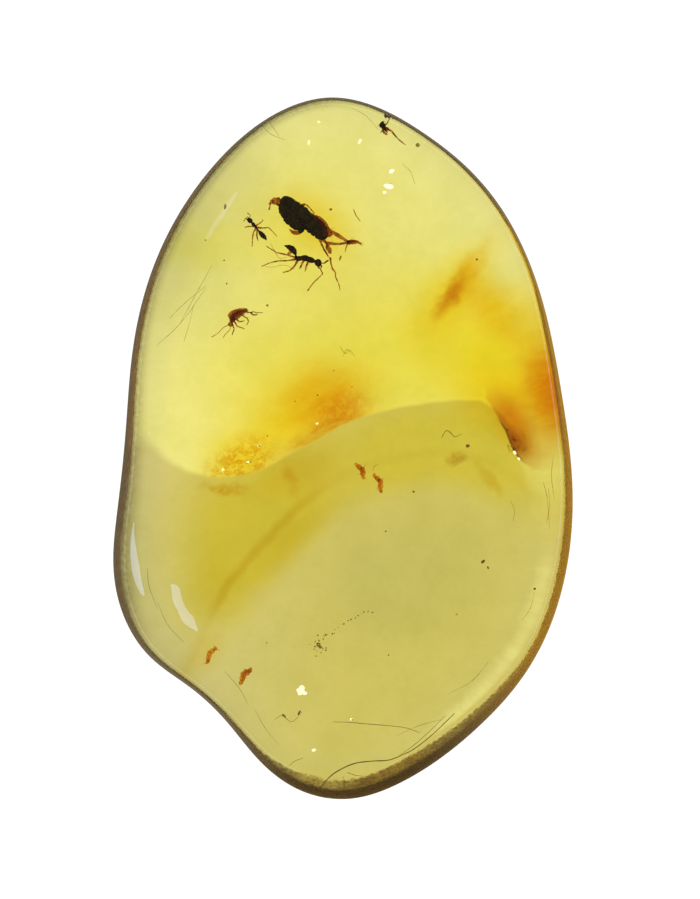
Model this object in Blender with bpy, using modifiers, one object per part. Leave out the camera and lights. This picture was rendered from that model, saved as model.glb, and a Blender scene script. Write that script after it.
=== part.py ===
"""Insects in amber: a polished freeform pebble of clear amber, parted along the flow plane its insects lie on."""

import math

import bmesh
import bpy
import numpy as np
from mathutils import Matrix, Vector

MM = 0.001  # every size below is in millimetres

# The pebble lies on its flat back: +X to the right, +Y to the narrow end, +Z up through the polished dome.
THICKNESS = 10.0
FLOW_PLANE = 5.0  # height of the resin surface that caught the insects
CLEARANCE = 0.3  # between the halves, and all round each inclusion
OUTLINE = (  # the widest outline, anticlockwise from the narrow end
    (-0.8, 22.85), (-4.2, 21.9), (-7.9, 19.0), (-10.8, 15.1), (-12.9, 10.2), (-13.8, 5.6),
    (-14.2, 0.6), (-14.75, -4.4), (-14.95, -7.9), (-14.2, -11.1), (-12.2, -13.9), (-9.2, -16.1),
    (-6.9, -18.6), (-4.4, -21.3), (-0.6, -22.85), (3.9, -21.7), (8.2, -18.7), (12.1, -14.3),
    (14.4, -8.6), (14.95, -2.9), (14.2, 3.8), (12.4, 11.4), (9.2, 17.1), (5.0, 20.7),
)
OUTLINE_SEGMENTS = 36  # faces round the cage, before subdivision
POCKET_SIDES = 12

# The side wall leans in from the widest line to the upper edge by the bevel, most at the blunt end.
BACK_INSET = 3.2  # the plan of the back and the crown, before their shares of it
EDGE_BEVEL = (  # heading from the middle in degrees, and how far the upper edge stands in there
    (-145, 0.66), (-117, 0.32), (-95, 1.40), (-68, 1.62), (-45, 0.90),
    (0, 0.55), (45, 0.30), (90, 0.36), (150, 0.45),
)
BLUNT_BEVEL = 0.6  # wider than this, the wall stands steeper

# Colours of the parts.
AMBER = (0.86, 0.70, 0.12)
CHITIN_BLACK = (0.03, 0.03, 0.02)
CHITIN_BROWN = (0.12, 0.04, 0.015)
CHITIN_TAN = (0.28, 0.13, 0.03)
BARK_RED = (0.35, 0.09, 0.02)


def clear_scene():
    for obj in list(bpy.data.objects):
        bpy.data.objects.remove(obj)


def new_collection(name):
    collection = bpy.data.collections.new(name)
    bpy.context.scene.collection.children.link(collection)
    return collection


def material(name, colour, roughness, transmission=0.0):
    made = bpy.data.materials.new(name)
    made.use_nodes = True
    shader = made.node_tree.nodes["Principled BSDF"]
    shader.inputs["Base Color"].default_value = (*colour, 1.0)
    shader.inputs["Roughness"].default_value = roughness
    shader.inputs["Metallic"].default_value = 0.0
    shader.inputs["Transmission Weight"].default_value = transmission
    return made


def new_object(name, mesh, collection):
    obj = bpy.data.objects.new(name, mesh)
    collection.objects.link(obj)
    return obj


def mesh_of(name, bm):
    mesh = bpy.data.meshes.new(name)
    bm.to_mesh(mesh)
    bm.free()
    return mesh


# ---------------------------------------------------------------- the pebble


def smooth_loop(points, count):
    """Count points, evenly spaced, on the closed cubic spline through the given ones."""
    knots = np.array(points, float)
    number = len(knots)
    spans = np.linalg.norm(np.roll(knots, -1, 0) - knots, axis=1)
    system = np.zeros((number, number))
    bends = np.zeros((number, 2))
    for i in range(number):
        before, after = spans[i - 1], spans[i]
        system[i, i - 1] = before
        system[i, i] = 2 * (before + after)
        system[i, (i + 1) % number] = after
        bends[i] = 6 * ((knots[(i + 1) % number] - knots[i]) / after - (knots[i] - knots[i - 1]) / before)
    curvature = np.linalg.solve(system, bends)
    fine = []
    for i in range(number):
        j, span = (i + 1) % number, spans[i]
        for along in np.linspace(0, span, 32, endpoint=False):
            left = span - along
            arc = (curvature[i] * left**3 + curvature[j] * along**3) / (6 * span)
            line = (knots[i] / span - curvature[i] * span / 6) * left
            fine.append(arc + line + (knots[j] / span - curvature[j] * span / 6) * along)
    fine = np.array(fine + fine[:1])
    walked = np.concatenate([[0], np.cumsum(np.linalg.norm(np.diff(fine, axis=0), axis=1))])
    wanted = np.linspace(0, walked[-1], count, endpoint=False)
    return np.stack([np.interp(wanted, walked, fine[:, axis]) for axis in (0, 1)], axis=1)


def outward(loop):
    along = np.roll(loop, -1, 0) - np.roll(loop, 1, 0)
    along /= np.linalg.norm(along, axis=1)[:, None]
    return np.stack([along[:, 1], -along[:, 0]], axis=1)


def caged(loop):
    """The control loop whose subdivided curve runs through this loop."""
    number = len(loop)
    weights = (4 * np.eye(number) + np.roll(np.eye(number), 1, 0) + np.roll(np.eye(number), -1, 0)) / 6
    return np.linalg.solve(weights, loop)


def plan_middle(loop):
    """The middle of the box round this loop once it is subdivided."""
    cage = caged(loop)
    before, after, beyond = np.roll(cage, 1, 0), np.roll(cage, -1, 0), np.roll(cage, -2, 0)
    halfway = (before + 23 * cage + 23 * after + beyond) / 48
    spots = np.concatenate([loop, halfway])
    return (spots.min(0) + spots.max(0)) / 2


def bevel_at(heading):
    """How far the upper edge stands in from the outline, by heading from the middle, and how blunt it is."""
    headings, widths = zip(*EDGE_BEVEL)
    bevel = np.interp(np.degrees(heading), headings, widths, period=360)
    return bevel, np.clip(bevel / BLUNT_BEVEL - 1, 0, 1)


def pebble_rings():
    """The cage's rings as (loop, heights), from the middle of the back to the middle of the crown."""
    edge = smooth_loop(OUTLINE, OUTLINE_SEGMENTS)
    edge -= plan_middle(edge)
    out = outward(edge)
    bevel, blunt = bevel_at(np.arctan2(edge[:, 1], edge[:, 0]))

    def ring(inset, height, share=1.0):
        loop = caged(edge - out * np.reshape(inset + 0 * bevel, (-1, 1))) * share
        return loop, height + 0 * bevel

    def between(elsewhere, at_blunt_end):
        return elsewhere + (at_blunt_end - elsewhere) * blunt

    return [
        ring(BACK_INSET, 0.0, 0.1),
        ring(BACK_INSET, 0.0, 0.34),
        ring(BACK_INSET, 0.12, 0.62),
        ring(4.6, 0.55),
        ring(2.5, 1.1),
        ring(1.1, 1.8),
        ring(0.25, 3.0),
        ring(-(0.25 + 0.45 * bevel) / 4, between(4.5, 3.8)),  # the widest
        ring(0.45 * bevel, between(6.2, 6.1)),
        ring(bevel, between(7.7, 8.4)),
        ring(bevel + between(0.9, 0.35), between(8.6, 8.82)),
        ring(bevel + 2.6, 9.15),
        ring(BACK_INSET, 9.6, 0.62),
        ring(BACK_INSET, 9.9, 0.34),
        ring(BACK_INSET, THICKNESS, 0.1),
    ]


def pebble_mesh(name):
    bm = bmesh.new()
    loops = [
        [bm.verts.new(Vector((x, y, z)) * MM) for (x, y), z in zip(loop, heights)]
        for loop, heights in pebble_rings()
    ]
    for lower, upper in zip(loops, loops[1:]):
        for i in range(OUTLINE_SEGMENTS):
            j = (i + 1) % OUTLINE_SEGMENTS
            bm.faces.new((lower[i], lower[j], upper[j], upper[i]))
    bm.faces.new(loops[0][::-1])
    bm.faces.new(loops[-1])
    return mesh_of(name, bm)


# ---------------------------------------------------------------- pieces of insects


def ellipsoid(centre, semi_axes, heading=0.0, segments=10):
    """A closed ellipsoid; heading turns its long axis from +X, in degrees."""
    bm = bmesh.new()
    place = Matrix.Translation(Vector(centre) * MM) @ Matrix.Rotation(math.radians(heading), 4, "Z")
    shape = Matrix.Diagonal((*(Vector(semi_axes) * MM), 1.0))
    bmesh.ops.create_uvsphere(bm, u_segments=segments, v_segments=segments // 2 + 1, radius=1.0, matrix=place @ shape)
    return mesh_of("ellipsoid", bm)


def limb(points, radii, sides=6):
    """A closed tapering tube through the points, with a radius at each."""
    data = bpy.data.curves.new("limb", "CURVE")
    data.dimensions = "3D"
    data.bevel_depth = MM
    data.bevel_resolution = sides // 2 - 2
    data.use_fill_caps = True
    spline = data.splines.new("POLY")
    spline.points.add(len(points) - 1)
    for point, place, radius in zip(spline.points, points, radii):
        point.co = (*(Vector(place) * MM), 1.0)
        point.radius = radius
    curve = bpy.data.objects.new("limb", data)
    bpy.context.scene.collection.objects.link(curve)
    bpy.context.view_layer.update()
    mesh = bpy.data.meshes.new_from_object(curve.evaluated_get(bpy.context.evaluated_depsgraph_get()))
    bpy.data.objects.remove(curve)
    bm = bmesh.new()
    bm.from_mesh(mesh)
    bmesh.ops.remove_doubles(bm, verts=bm.verts, dist=0.001 * MM)
    bmesh.ops.recalc_face_normals(bm, faces=bm.faces)
    return mesh_of("limb", bm)


def fused(name, meshes, place, look, collection):
    """One solid from overlapping closed meshes, set down at place."""
    helpers = [new_object(f"{name}_{i}", mesh, collection) for i, mesh in enumerate(meshes)]
    body = helpers[0]
    for helper in helpers[1:]:
        union = body.modifiers.new("union", "BOOLEAN")
        union.operation = "UNION"
        union.solver = "EXACT"
        union.object = helper
    bpy.context.view_layer.update()
    mesh = bpy.data.meshes.new_from_object(body.evaluated_get(bpy.context.evaluated_depsgraph_get()))
    for helper in helpers:
        bpy.data.objects.remove(helper)
    mesh.materials.clear()
    mesh.materials.append(look)
    obj = new_object(name, mesh, collection)
    obj.location = Vector(place) * MM
    return obj


# Each insect is drawn in its own frame: millimetres from its middle, turned as it lies in the pebble.


def beetle(collection, look):
    """Wing cases a little open over a longer abdomen, a hind wing slipped out, and long hind legs."""
    pieces = [
        ellipsoid((-0.80, 0.14, 0.03), (1.06, 0.50, 0.44), -52),  # left wing case
        ellipsoid((-0.14, 0.32, 0.05), (1.16, 0.52, 0.44), -40),  # right wing case
        ellipsoid((-1.04, 1.03, 0.00), (0.56, 0.40, 0.36), -24),  # pronotum
        ellipsoid((-1.72, 1.15, -0.04), (0.34, 0.20, 0.20), -8),  # head
        ellipsoid((0.72, -0.50, -0.06), (1.06, 0.56, 0.38), -44, 12),  # abdomen
        ellipsoid((1.20, -0.40, 0.10), (0.76, 0.34, 0.07), -52),  # hind wing
        limb([(-1.90, 1.12, 0), (-2.04, 1.06, 0), (-2.16, 0.88, -0.05)], (0.07, 0.06, 0.04)),
        limb([(-0.40, 0.60, 0), (-0.13, 0.86, 0.1), (0.13, 0.89, 0.12), (0.39, 0.67, 0.1), (0.60, 0.40, 0.05)],
             (0.07, 0.06, 0.06, 0.06, 0.05)),
        limb([(1.20, -0.50, 0), (1.75, -0.76, 0.02), (2.28, -1.03, 0.05), (2.80, -1.48, 0.05)],
             (0.10, 0.14, 0.11, 0.10)),
        limb([(2.70, -1.54, 0.05), (3.00, -1.47, 0.05), (3.27, -1.40, 0.03), (3.57, -1.57, 0)],
             (0.11, 0.14, 0.10, 0.04)),
        limb([(1.00, -1.10, -0.1), (1.30, -1.42, -0.1), (1.72, -1.57, -0.08), (2.10, -1.56, 0), (2.76, -1.56, 0.05)],
             (0.12, 0.12, 0.08, 0.05, 0.05)),
        limb([(2.78, -1.50, 0.05), (2.63, -1.85, 0), (2.59, -2.08, -0.05)], (0.05, 0.05, 0.04)),
        limb([(0.88, -1.00, -0.1), (1.07, -1.50, -0.02), (1.28, -1.95, 0.05), (1.53, -2.42, 0.1)],
             (0.07, 0.06, 0.10, 0.04)),
        limb([(1.22, -1.10, 0), (1.46, -1.68, 0.12), (1.62, -2.02, 0.18), (1.72, -2.28, 0.2), (1.69, -2.60, 0.22),
              (1.76, -3.16, 0.2), (2.02, -3.50, 0.15), (2.06, -3.86, 0.1), (2.27, -4.50, 0.05)],
             (0.06, 0.13, 0.16, 0.10, 0.06, 0.06, 0.045, 0.04, 0.035)),
    ]
    return fused("beetle", pieces, BEETLE_AT, look, collection)


def ant(collection, look):
    """An ant on its side: gaster raised over the arched thorax, one long elbowed antenna."""
    pieces = [
        limb([(-0.52, 0.06, 0), (-0.30, 0.10, 0), (-0.05, 0.13, 0), (0.22, 0.08, 0), (0.46, -0.04, 0), (0.64, -0.16, 0)],
             (0.08, 0.16, 0.20, 0.22, 0.18, 0.07), 8),  # thorax
        limb([(-0.60, 0.30, 0), (-0.66, 0.50, 0), (-0.76, 0.70, 0), (-0.98, 0.82, 0), (-1.28, 0.91, 0)],
             (0.05, 0.13, 0.21, 0.17, 0.02), 8),  # gaster
        limb([(-0.48, 0.05, 0), (-0.56, 0.15, 0), (-0.60, 0.34, 0)], (0.06, 0.07, 0.06)),  # waist
        ellipsoid((0.84, -0.21, 0), (0.24, 0.19, 0.19), 50),  # head
        limb([(0.55, -0.10, 0), (0.75, -0.18, 0)], (0.07, 0.07)),  # neck
        limb([(0.90, -0.34, 0), (1.00, -0.62, 0.05), (1.14, -0.92, 0.05), (0.86, -1.20, 0), (0.55, -1.50, -0.05),
              (0.18, -2.00, -0.1)], (0.04, 0.04, 0.045, 0.04, 0.04, 0.045)),
        limb([(0.92, -0.16, 0), (1.16, -0.24, -0.05), (1.46, -0.08, -0.1)], (0.04, 0.04, 0.04)),
        limb([(0.16, -0.02, 0.05), (0.08, -0.40, 0.02), (0.02, -0.68, -0.1)], (0.06, 0.045, 0.035)),
        limb([(-0.06, 0.0, -0.05), (-0.22, -0.36, -0.1), (-0.30, -0.50, -0.12)], (0.06, 0.05, 0.035)),
        limb([(-0.44, 0.02, 0.02), (-0.70, -0.54, 0), (-0.98, -0.72, -0.05), (-1.32, -0.80, -0.1)],
             (0.06, 0.05, 0.04, 0.035)),
        limb([(-0.36, 0.06, 0.1), (-1.10, -0.06, 0.1), (-1.70, -0.08, 0.05), (-2.20, -0.18, 0), (-2.72, -0.38, 0)],
             (0.06, 0.05, 0.045, 0.035, 0.035)),
        limb([(-0.36, 0.06, -0.1), (-1.16, 0.32, -0.15), (-1.80, 0.46, -0.15), (-2.40, 0.84, -0.1)],
             (0.06, 0.05, 0.04, 0.035)),
    ]
    return fused("ant", pieces, ANT_AT, look, collection)


def small_ant(collection, look):
    """A slimmer ant seen from above, head up and to the left."""
    pieces = [
        limb([(-0.40, 0.48, 0), (-0.26, 0.34, 0), (-0.10, 0.14, 0), (0.02, 0.0, 0)], (0.05, 0.10, 0.10, 0.05), 8),
        ellipsoid((-0.42, 0.50, 0), (0.19, 0.13, 0.12), -35),  # head
        limb([(0.0, 0.02, 0), (0.06, -0.06, 0), (0.14, -0.18, 0)], (0.05, 0.05, 0.05)),
        limb([(0.10, -0.12, 0), (0.24, -0.30, 0), (0.39, -0.46, 0), (0.52, -0.60, 0), (0.62, -0.74, 0)],
             (0.05, 0.12, 0.17, 0.13, 0.03), 8),  # gaster
        limb([(-0.12, 0.12, 0), (-0.42, 0.13, -0.05), (-0.72, 0.08, -0.1)], (0.05, 0.04, 0.035)),
        limb([(0.0, 0.10, 0), (0.16, 0.26, 0.05), (0.36, 0.46, 0)], (0.05, 0.04, 0.035)),
        limb([(-0.02, 0.0, 0), (-0.22, -0.30, 0.05), (-0.28, -0.76, 0), (-0.30, -1.10, -0.05)],
             (0.05, 0.04, 0.04, 0.03)),
        limb([(0.0, 0.06, 0.02), (0.40, 0.02, 0.08), (0.72, 0.06, 0.08), (1.0, -0.18, 0.05), (1.24, -0.44, 0)],
             (0.05, 0.045, 0.04, 0.04, 0.03)),
        limb([(0.04, 0.0, -0.02), (0.0, -0.42, -0.1), (0.06, -0.70, -0.15)], (0.05, 0.035, 0.03)),
        limb([(-0.50, 0.58, 0), (-0.66, 0.62, 0.02), (-0.78, 0.44, 0)], (0.035, 0.035, 0.03)),
    ]
    return fused("small_ant", pieces, SMALL_ANT_AT, look, collection)


def barklouse(collection, look):
    """A small winged louse: roof of tan wings over a dark abdomen, long antenna forward."""
    pieces = [
        limb([(-0.10, -0.20, 0), (0.10, -0.02, 0), (0.40, 0.20, 0), (0.70, 0.33, 0), (0.90, 0.40, 0)],
             (0.12, 0.20, 0.18, 0.10, 0.03), 8),  # abdomen
        ellipsoid((-0.10, -0.22, 0), (0.24, 0.20, 0.18), 50),  # thorax
        ellipsoid((-0.21, -0.46, -0.02), (0.17, 0.15, 0.15), 70),  # head
        ellipsoid((0.14, 0.20, 0.14), (0.72, 0.24, 0.06), 27),  # wings
        limb([(-0.26, -0.52, 0), (-0.52, -0.56, 0), (-0.98, -1.00, 0), (-1.42, -1.30, 0)],
             (0.04, 0.04, 0.035, 0.03)),
        limb([(0.70, 0.32, 0), (1.0, 0.22, 0), (1.28, 0.26, 0), (1.74, 0.24, 0)], (0.06, 0.05, 0.045, 0.04)),
        limb([(0.10, -0.14, 0), (0.34, -0.34, 0), (0.60, -0.28, 0)], (0.05, 0.045, 0.035)),
        limb([(0.44, 0.12, -0.05), (0.84, -0.16, -0.05), (0.80, -0.44, -0.1)], (0.05, 0.045, 0.035)),
        limb([(0.0, -0.30, 0), (0.20, -0.62, -0.05), (0.60, -0.76, -0.1)], (0.05, 0.04, 0.03)),
        limb([(-0.14, -0.44, 0), (0.0, -0.80, -0.05), (-0.12, -1.10, -0.1)], (0.05, 0.035, 0.03)),
    ]
    return fused("barklouse", pieces, BARKLOUSE_AT, look, collection)


def gnat(collection, look):
    """A tiny gnat: round dark head and thorax, two narrow wings, one long hind leg trailing."""
    pieces = [
        ellipsoid((-0.09, 0.06, 0), (0.15, 0.10, 0.10), -30),  # head and front of the thorax
        ellipsoid((0.06, -0.05, 0), (0.11, 0.10, 0.09), -40),  # hump
        limb([(0.04, -0.05, 0), (-0.05, -0.18, 0)], (0.05, 0.035)),
        limb([(0.06, -0.05, 0), (0.18, 0.02, 0)], (0.05, 0.04)),
        limb([(0.08, -0.09, 0), (0.22, -0.21, 0), (0.34, -0.30, 0)], (0.06, 0.05, 0.025)),  # abdomen
        ellipsoid((0.18, -0.25, 0.04), (0.22, 0.045, 0.03), -34),  # left wing
        limb([(0.12, -0.08, 0), (0.24, -0.13, 0), (0.34, -0.14, 0)], (0.035, 0.035, 0.03)),
        limb([(0.12, -0.10, 0), (0.50, -0.24, 0.05), (0.96, -0.64, 0.05), (1.30, -0.92, 0), (1.44, -1.00, 0)],
             (0.04, 0.045, 0.045, 0.035, 0.025)),
    ]
    return fused("gnat", pieces, GNAT_AT, look, collection)


def bark_fleck(name, place, length, width, heading, collection, look):
    """A lumpy flake of bark."""
    bend = 0.1 * length
    across = Vector((-math.sin(math.radians(heading)), math.cos(math.radians(heading)), 0))
    along = Vector((math.cos(math.radians(heading)), math.sin(math.radians(heading)), 0))
    line = [along * length * s / 2 + across * bend * math.cos(3 * s) for s in (-1.0, -0.5, 0.0, 0.5, 1.0)]
    widths = [width * share / 2 for share in (0.35, 0.9, 0.8, 1.0, 0.4)]
    return fused(name, [limb(line, widths)], place, look, collection)


# Where each inclusion lies in the pebble.
BEETLE_AT = (-2.47, 14.72, FLOW_PLANE + 0.25)
ANT_AT = (-2.40, 12.12, FLOW_PLANE - 0.45)
SMALL_ANT_AT = (-5.46, 14.14, FLOW_PLANE + 0.05)
BARKLOUSE_AT = (-6.89, 8.48, FLOW_PLANE)
GNAT_AT = (2.26, 20.18, FLOW_PLANE + 0.1)
FLECKS = {  # place, length, width, heading
    "bark_fleck_1": ((1.14, -1.40, FLOW_PLANE), 0.95, 0.34, -60),
    "bark_fleck_2": ((2.28, -2.17, FLOW_PLANE), 1.05, 0.34, -68),
    "bark_fleck_3": ((-8.40, -13.10, FLOW_PLANE), 0.85, 0.34, 62),
    "bark_fleck_4": ((-6.20, -14.50, FLOW_PLANE), 0.95, 0.42, 55),
}
TWINS = ("bark_fleck_1", "bark_fleck_2")  # so close that they share one pocket


# ---------------------------------------------------------------- pockets and halves


def pocket_round(inclusions, name, collection):
    """The hollow some inclusions lie in: a twelve-sided prism that clears them all round."""
    spots = [inclusion.matrix_world @ vert.co for inclusion in inclusions for vert in inclusion.data.vertices]
    clear = CLEARANCE * MM
    turn = 2 * math.pi / POCKET_SIDES
    facing = [Vector((math.cos(i * turn), math.sin(i * turn), 0)) for i in range(POCKET_SIDES)]
    reach = [max(direction.dot(spot) for spot in spots) + clear for direction in facing]
    corners = []
    for i in range(POCKET_SIDES):
        j = (i + 1) % POCKET_SIDES
        solved = (facing[i] * reach[i] + facing[j] * reach[j] - (facing[i] * reach[j] + facing[j] * reach[i])
                  * math.cos(turn)) / math.sin(turn) ** 2
        corners.append(solved)
    floor = min(spot.z for spot in spots) - clear
    ceiling = max(spot.z for spot in spots) + clear
    bm = bmesh.new()
    lower = [bm.verts.new((corner.x, corner.y, floor)) for corner in corners]
    upper = [bm.verts.new((corner.x, corner.y, ceiling)) for corner in corners]
    for i in range(POCKET_SIDES):
        j = (i + 1) % POCKET_SIDES
        bm.faces.new((lower[i], lower[j], upper[j], upper[i]))
    bm.faces.new(lower[::-1])
    bm.faces.new(upper)
    cutter = new_object("pocket_" + name, mesh_of("pocket", bm), collection)
    cutter.hide_render = True
    cutter.display_type = "WIRE"
    return cutter


def half(name, keep_above, pockets, collection, look, cutters):
    """The pebble on one side of the flow plane, with half of each pocket sunk in its face."""
    obj = new_object(name, pebble_mesh(name), collection)
    obj.data.materials.append(look)
    smooth = obj.modifiers.new("smooth", "SUBSURF")
    smooth.levels = smooth.render_levels = 1
    side = 60.0
    face = FLOW_PLANE + (CLEARANCE / 2 if keep_above else -CLEARANCE / 2)
    middle = face + (-side / 2 if keep_above else side / 2)
    bm = bmesh.new()
    bmesh.ops.create_cube(bm, size=side * MM, matrix=Matrix.Translation((0, 0, middle * MM)))
    block = new_object("block_" + name, mesh_of("block", bm), cutters)
    block.hide_render = True
    block.display_type = "WIRE"
    part = obj.modifiers.new("part", "BOOLEAN")
    part.operation = "DIFFERENCE"
    part.solver = "EXACT"
    part.object = block
    sink = obj.modifiers.new("sink", "BOOLEAN")
    sink.operation = "DIFFERENCE"
    sink.solver = "EXACT"
    sink.operand_type = "COLLECTION"
    sink.collection = pockets
    return obj


def main():
    clear_scene()
    specimen = new_collection("insects_in_amber")
    cutters = new_collection("cutters")
    pockets = new_collection("pockets")
    black = material("chitin_black", CHITIN_BLACK, 0.35)
    brown = material("chitin_brown", CHITIN_BROWN, 0.4)
    tan = material("chitin_tan", CHITIN_TAN, 0.45)
    bark = material("bark_red", BARK_RED, 0.7)
    inclusions = [
        beetle(specimen, black),
        ant(specimen, brown),
        small_ant(specimen, brown),
        barklouse(specimen, tan),
        gnat(specimen, black),
    ]
    for name, (place, length, width, heading) in FLECKS.items():
        inclusions.append(bark_fleck(name, place, length, width, heading, specimen, bark))
    bpy.context.view_layer.update()
    singles = [[inclusion] for inclusion in inclusions if inclusion.name not in TWINS]
    twins = [inclusion for inclusion in inclusions if inclusion.name in TWINS]
    for group in [*singles, twins]:
        pocket_round(group, group[0].name, pockets)
    clear_amber = material("clear_amber", AMBER, 0.05, transmission=1.0)
    half("amber_lower", False, pockets, specimen, clear_amber, cutters)
    half("amber_upper", True, pockets, specimen, clear_amber, cutters)


main()
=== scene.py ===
import math

import bmesh
import bpy
import numpy as np
from mathutils import Matrix, Vector
from mathutils.bvhtree import BVHTree


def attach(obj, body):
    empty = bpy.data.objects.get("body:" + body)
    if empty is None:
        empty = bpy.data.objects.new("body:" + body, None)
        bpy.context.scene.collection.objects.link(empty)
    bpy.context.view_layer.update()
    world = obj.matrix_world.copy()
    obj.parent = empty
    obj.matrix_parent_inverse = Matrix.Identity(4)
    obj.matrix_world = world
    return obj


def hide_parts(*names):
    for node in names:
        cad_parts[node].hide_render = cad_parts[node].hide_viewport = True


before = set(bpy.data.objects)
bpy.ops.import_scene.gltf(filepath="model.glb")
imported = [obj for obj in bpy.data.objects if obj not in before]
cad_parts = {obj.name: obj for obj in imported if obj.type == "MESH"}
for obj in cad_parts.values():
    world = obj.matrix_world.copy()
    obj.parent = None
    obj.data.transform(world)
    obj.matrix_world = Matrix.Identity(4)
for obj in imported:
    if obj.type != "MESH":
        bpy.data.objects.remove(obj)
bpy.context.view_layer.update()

MM = 0.001
SCENE = bpy.context.scene

# ---------------------------------------------------------------- the stone's shape
# as in part.py, but for the width of its upper edge on the lower left

THICKNESS = 10.0
FLOW_PLANE = 5.0
OUTLINE = (
    (-0.8, 22.85), (-4.2, 21.9), (-7.9, 19.0), (-10.8, 15.1), (-12.9, 10.2), (-13.8, 5.6),
    (-14.2, 0.6), (-14.75, -4.4), (-14.95, -7.9), (-14.2, -11.1), (-12.2, -13.9), (-9.2, -16.1),
    (-6.9, -18.6), (-4.4, -21.3), (-0.6, -22.85), (3.9, -21.7), (8.2, -18.7), (12.1, -14.3),
    (14.4, -8.6), (14.95, -2.9), (14.2, 3.8), (12.4, 11.4), (9.2, 17.1), (5.0, 20.7),
)
OUTLINE_SEGMENTS = 36
BACK_INSET = 3.2
EDGE_BEVEL = (  # heading from the middle in degrees, and how far the upper edge stands in there
    (-145, 0.66), (-117, 0.32), (-105, 0.72), (-95, 1.50), (-80, 1.56), (-65, 1.24), (-45, 0.76),
    (-25, 0.72), (0, 0.54), (45, 0.30), (90, 0.36), (150, 0.45),
)
BLUNT_BEVEL = 0.6  # wider than this, the wall stands steeper


def smooth_loop(points, count):
    """Count points, evenly spaced, on the closed cubic spline through the given ones."""
    knots = np.array(points, float)
    number = len(knots)
    spans = np.linalg.norm(np.roll(knots, -1, 0) - knots, axis=1)
    system = np.zeros((number, number))
    bends = np.zeros((number, 2))
    for i in range(number):
        before, after = spans[i - 1], spans[i]
        system[i, i - 1] = before
        system[i, i] = 2 * (before + after)
        system[i, (i + 1) % number] = after
        bends[i] = 6 * ((knots[(i + 1) % number] - knots[i]) / after - (knots[i] - knots[i - 1]) / before)
    curvature = np.linalg.solve(system, bends)
    fine = []
    for i in range(number):
        j, span = (i + 1) % number, spans[i]
        for along in np.linspace(0, span, 32, endpoint=False):
            left = span - along
            arc = (curvature[i] * left**3 + curvature[j] * along**3) / (6 * span)
            line = (knots[i] / span - curvature[i] * span / 6) * left
            fine.append(arc + line + (knots[j] / span - curvature[j] * span / 6) * along)
    fine = np.array(fine + fine[:1])
    walked = np.concatenate([[0], np.cumsum(np.linalg.norm(np.diff(fine, axis=0), axis=1))])
    wanted = np.linspace(0, walked[-1], count, endpoint=False)
    return np.stack([np.interp(wanted, walked, fine[:, axis]) for axis in (0, 1)], axis=1)


def outward(loop):
    along = np.roll(loop, -1, 0) - np.roll(loop, 1, 0)
    along /= np.linalg.norm(along, axis=1)[:, None]
    return np.stack([along[:, 1], -along[:, 0]], axis=1)


def caged(loop):
    """The control loop whose subdivided curve runs through this loop."""
    number = len(loop)
    weights = (4 * np.eye(number) + np.roll(np.eye(number), 1, 0) + np.roll(np.eye(number), -1, 0)) / 6
    return np.linalg.solve(weights, loop)


def plan_middle(loop):
    """The middle of the box round this loop once it is subdivided."""
    cage = caged(loop)
    before, after, beyond = np.roll(cage, 1, 0), np.roll(cage, -1, 0), np.roll(cage, -2, 0)
    halfway = (before + 23 * cage + 23 * after + beyond) / 48
    spots = np.concatenate([loop, halfway])
    return (spots.min(0) + spots.max(0)) / 2


EDGE = smooth_loop(OUTLINE, OUTLINE_SEGMENTS)
MIDDLE = plan_middle(EDGE)
EDGE -= MIDDLE


def bevel_at(heading):
    """How far the upper edge stands in from the outline, by heading from the middle, and how blunt it is."""
    headings, widths = zip(*EDGE_BEVEL)
    bevel = np.interp(np.degrees(heading), headings, widths, period=360)
    return bevel, np.clip(bevel / BLUNT_BEVEL - 1, 0, 1)


def pebble_rings():
    """The cage's rings as (loop, heights), from the middle of the back to the middle of the crown."""
    out = outward(EDGE)
    bevel, blunt = bevel_at(np.arctan2(EDGE[:, 1], EDGE[:, 0]))

    def ring(inset, height, share=1.0):
        loop = caged(EDGE - out * np.reshape(inset + 0 * bevel, (-1, 1))) * share
        return loop, height + 0 * bevel

    def between(elsewhere, at_blunt_end):
        return elsewhere + (at_blunt_end - elsewhere) * blunt

    return [
        ring(BACK_INSET, 0.0, 0.1),
        ring(BACK_INSET, 0.0, 0.34),
        ring(BACK_INSET, 0.12, 0.62),
        ring(4.6, 0.55),
        ring(2.5, 1.1),
        ring(1.1, 1.8),
        ring(0.25, 3.0),
        ring(-(0.25 + 0.45 * bevel) / 4, between(4.5, 3.8)),  # the widest
        ring(0.45 * bevel, between(6.2, 6.1)),
        ring(bevel, between(7.7, 8.4)),
        ring(bevel + between(0.9, 0.35), between(8.6, 8.82)),
        ring(bevel + 2.6, 9.15),
        ring(BACK_INSET, 9.6, 0.62),
        ring(BACK_INSET, 9.9, 0.34),
        ring(BACK_INSET, THICKNESS, 0.1),
    ]


# ---------------------------------------------------------------- making things


def new_object(name, mesh, look=None):
    obj = bpy.data.objects.new(name, mesh)
    SCENE.collection.objects.link(obj)
    if look is not None:
        mesh.materials.append(look)
    return obj


def mesh_of(name, bm):
    mesh = bpy.data.meshes.new(name)
    for face in bm.faces:
        face.smooth = True
    bm.to_mesh(mesh)
    bm.free()
    return mesh


def band(bm, lower, upper):
    """Faces between two closed loops of as many points."""
    for i, corner in enumerate(lower):
        j = (i + 1) % len(lower)
        bm.faces.new((corner, lower[j], upper[j], upper[i]))


PX = 0.065  # millimetres of stone to one of the photograph's pixels
PHOTO_MIDDLE = (343, 448.5)  # the pixel over the stone's middle
PHOTO_HEIGHT = 899


def at(x, y):
    """Where a pixel of the photograph lies on the stone, in millimetres."""
    return ((x - PHOTO_MIDDLE[0]) * PX, (PHOTO_MIDDLE[1] - y) * PX)


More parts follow.
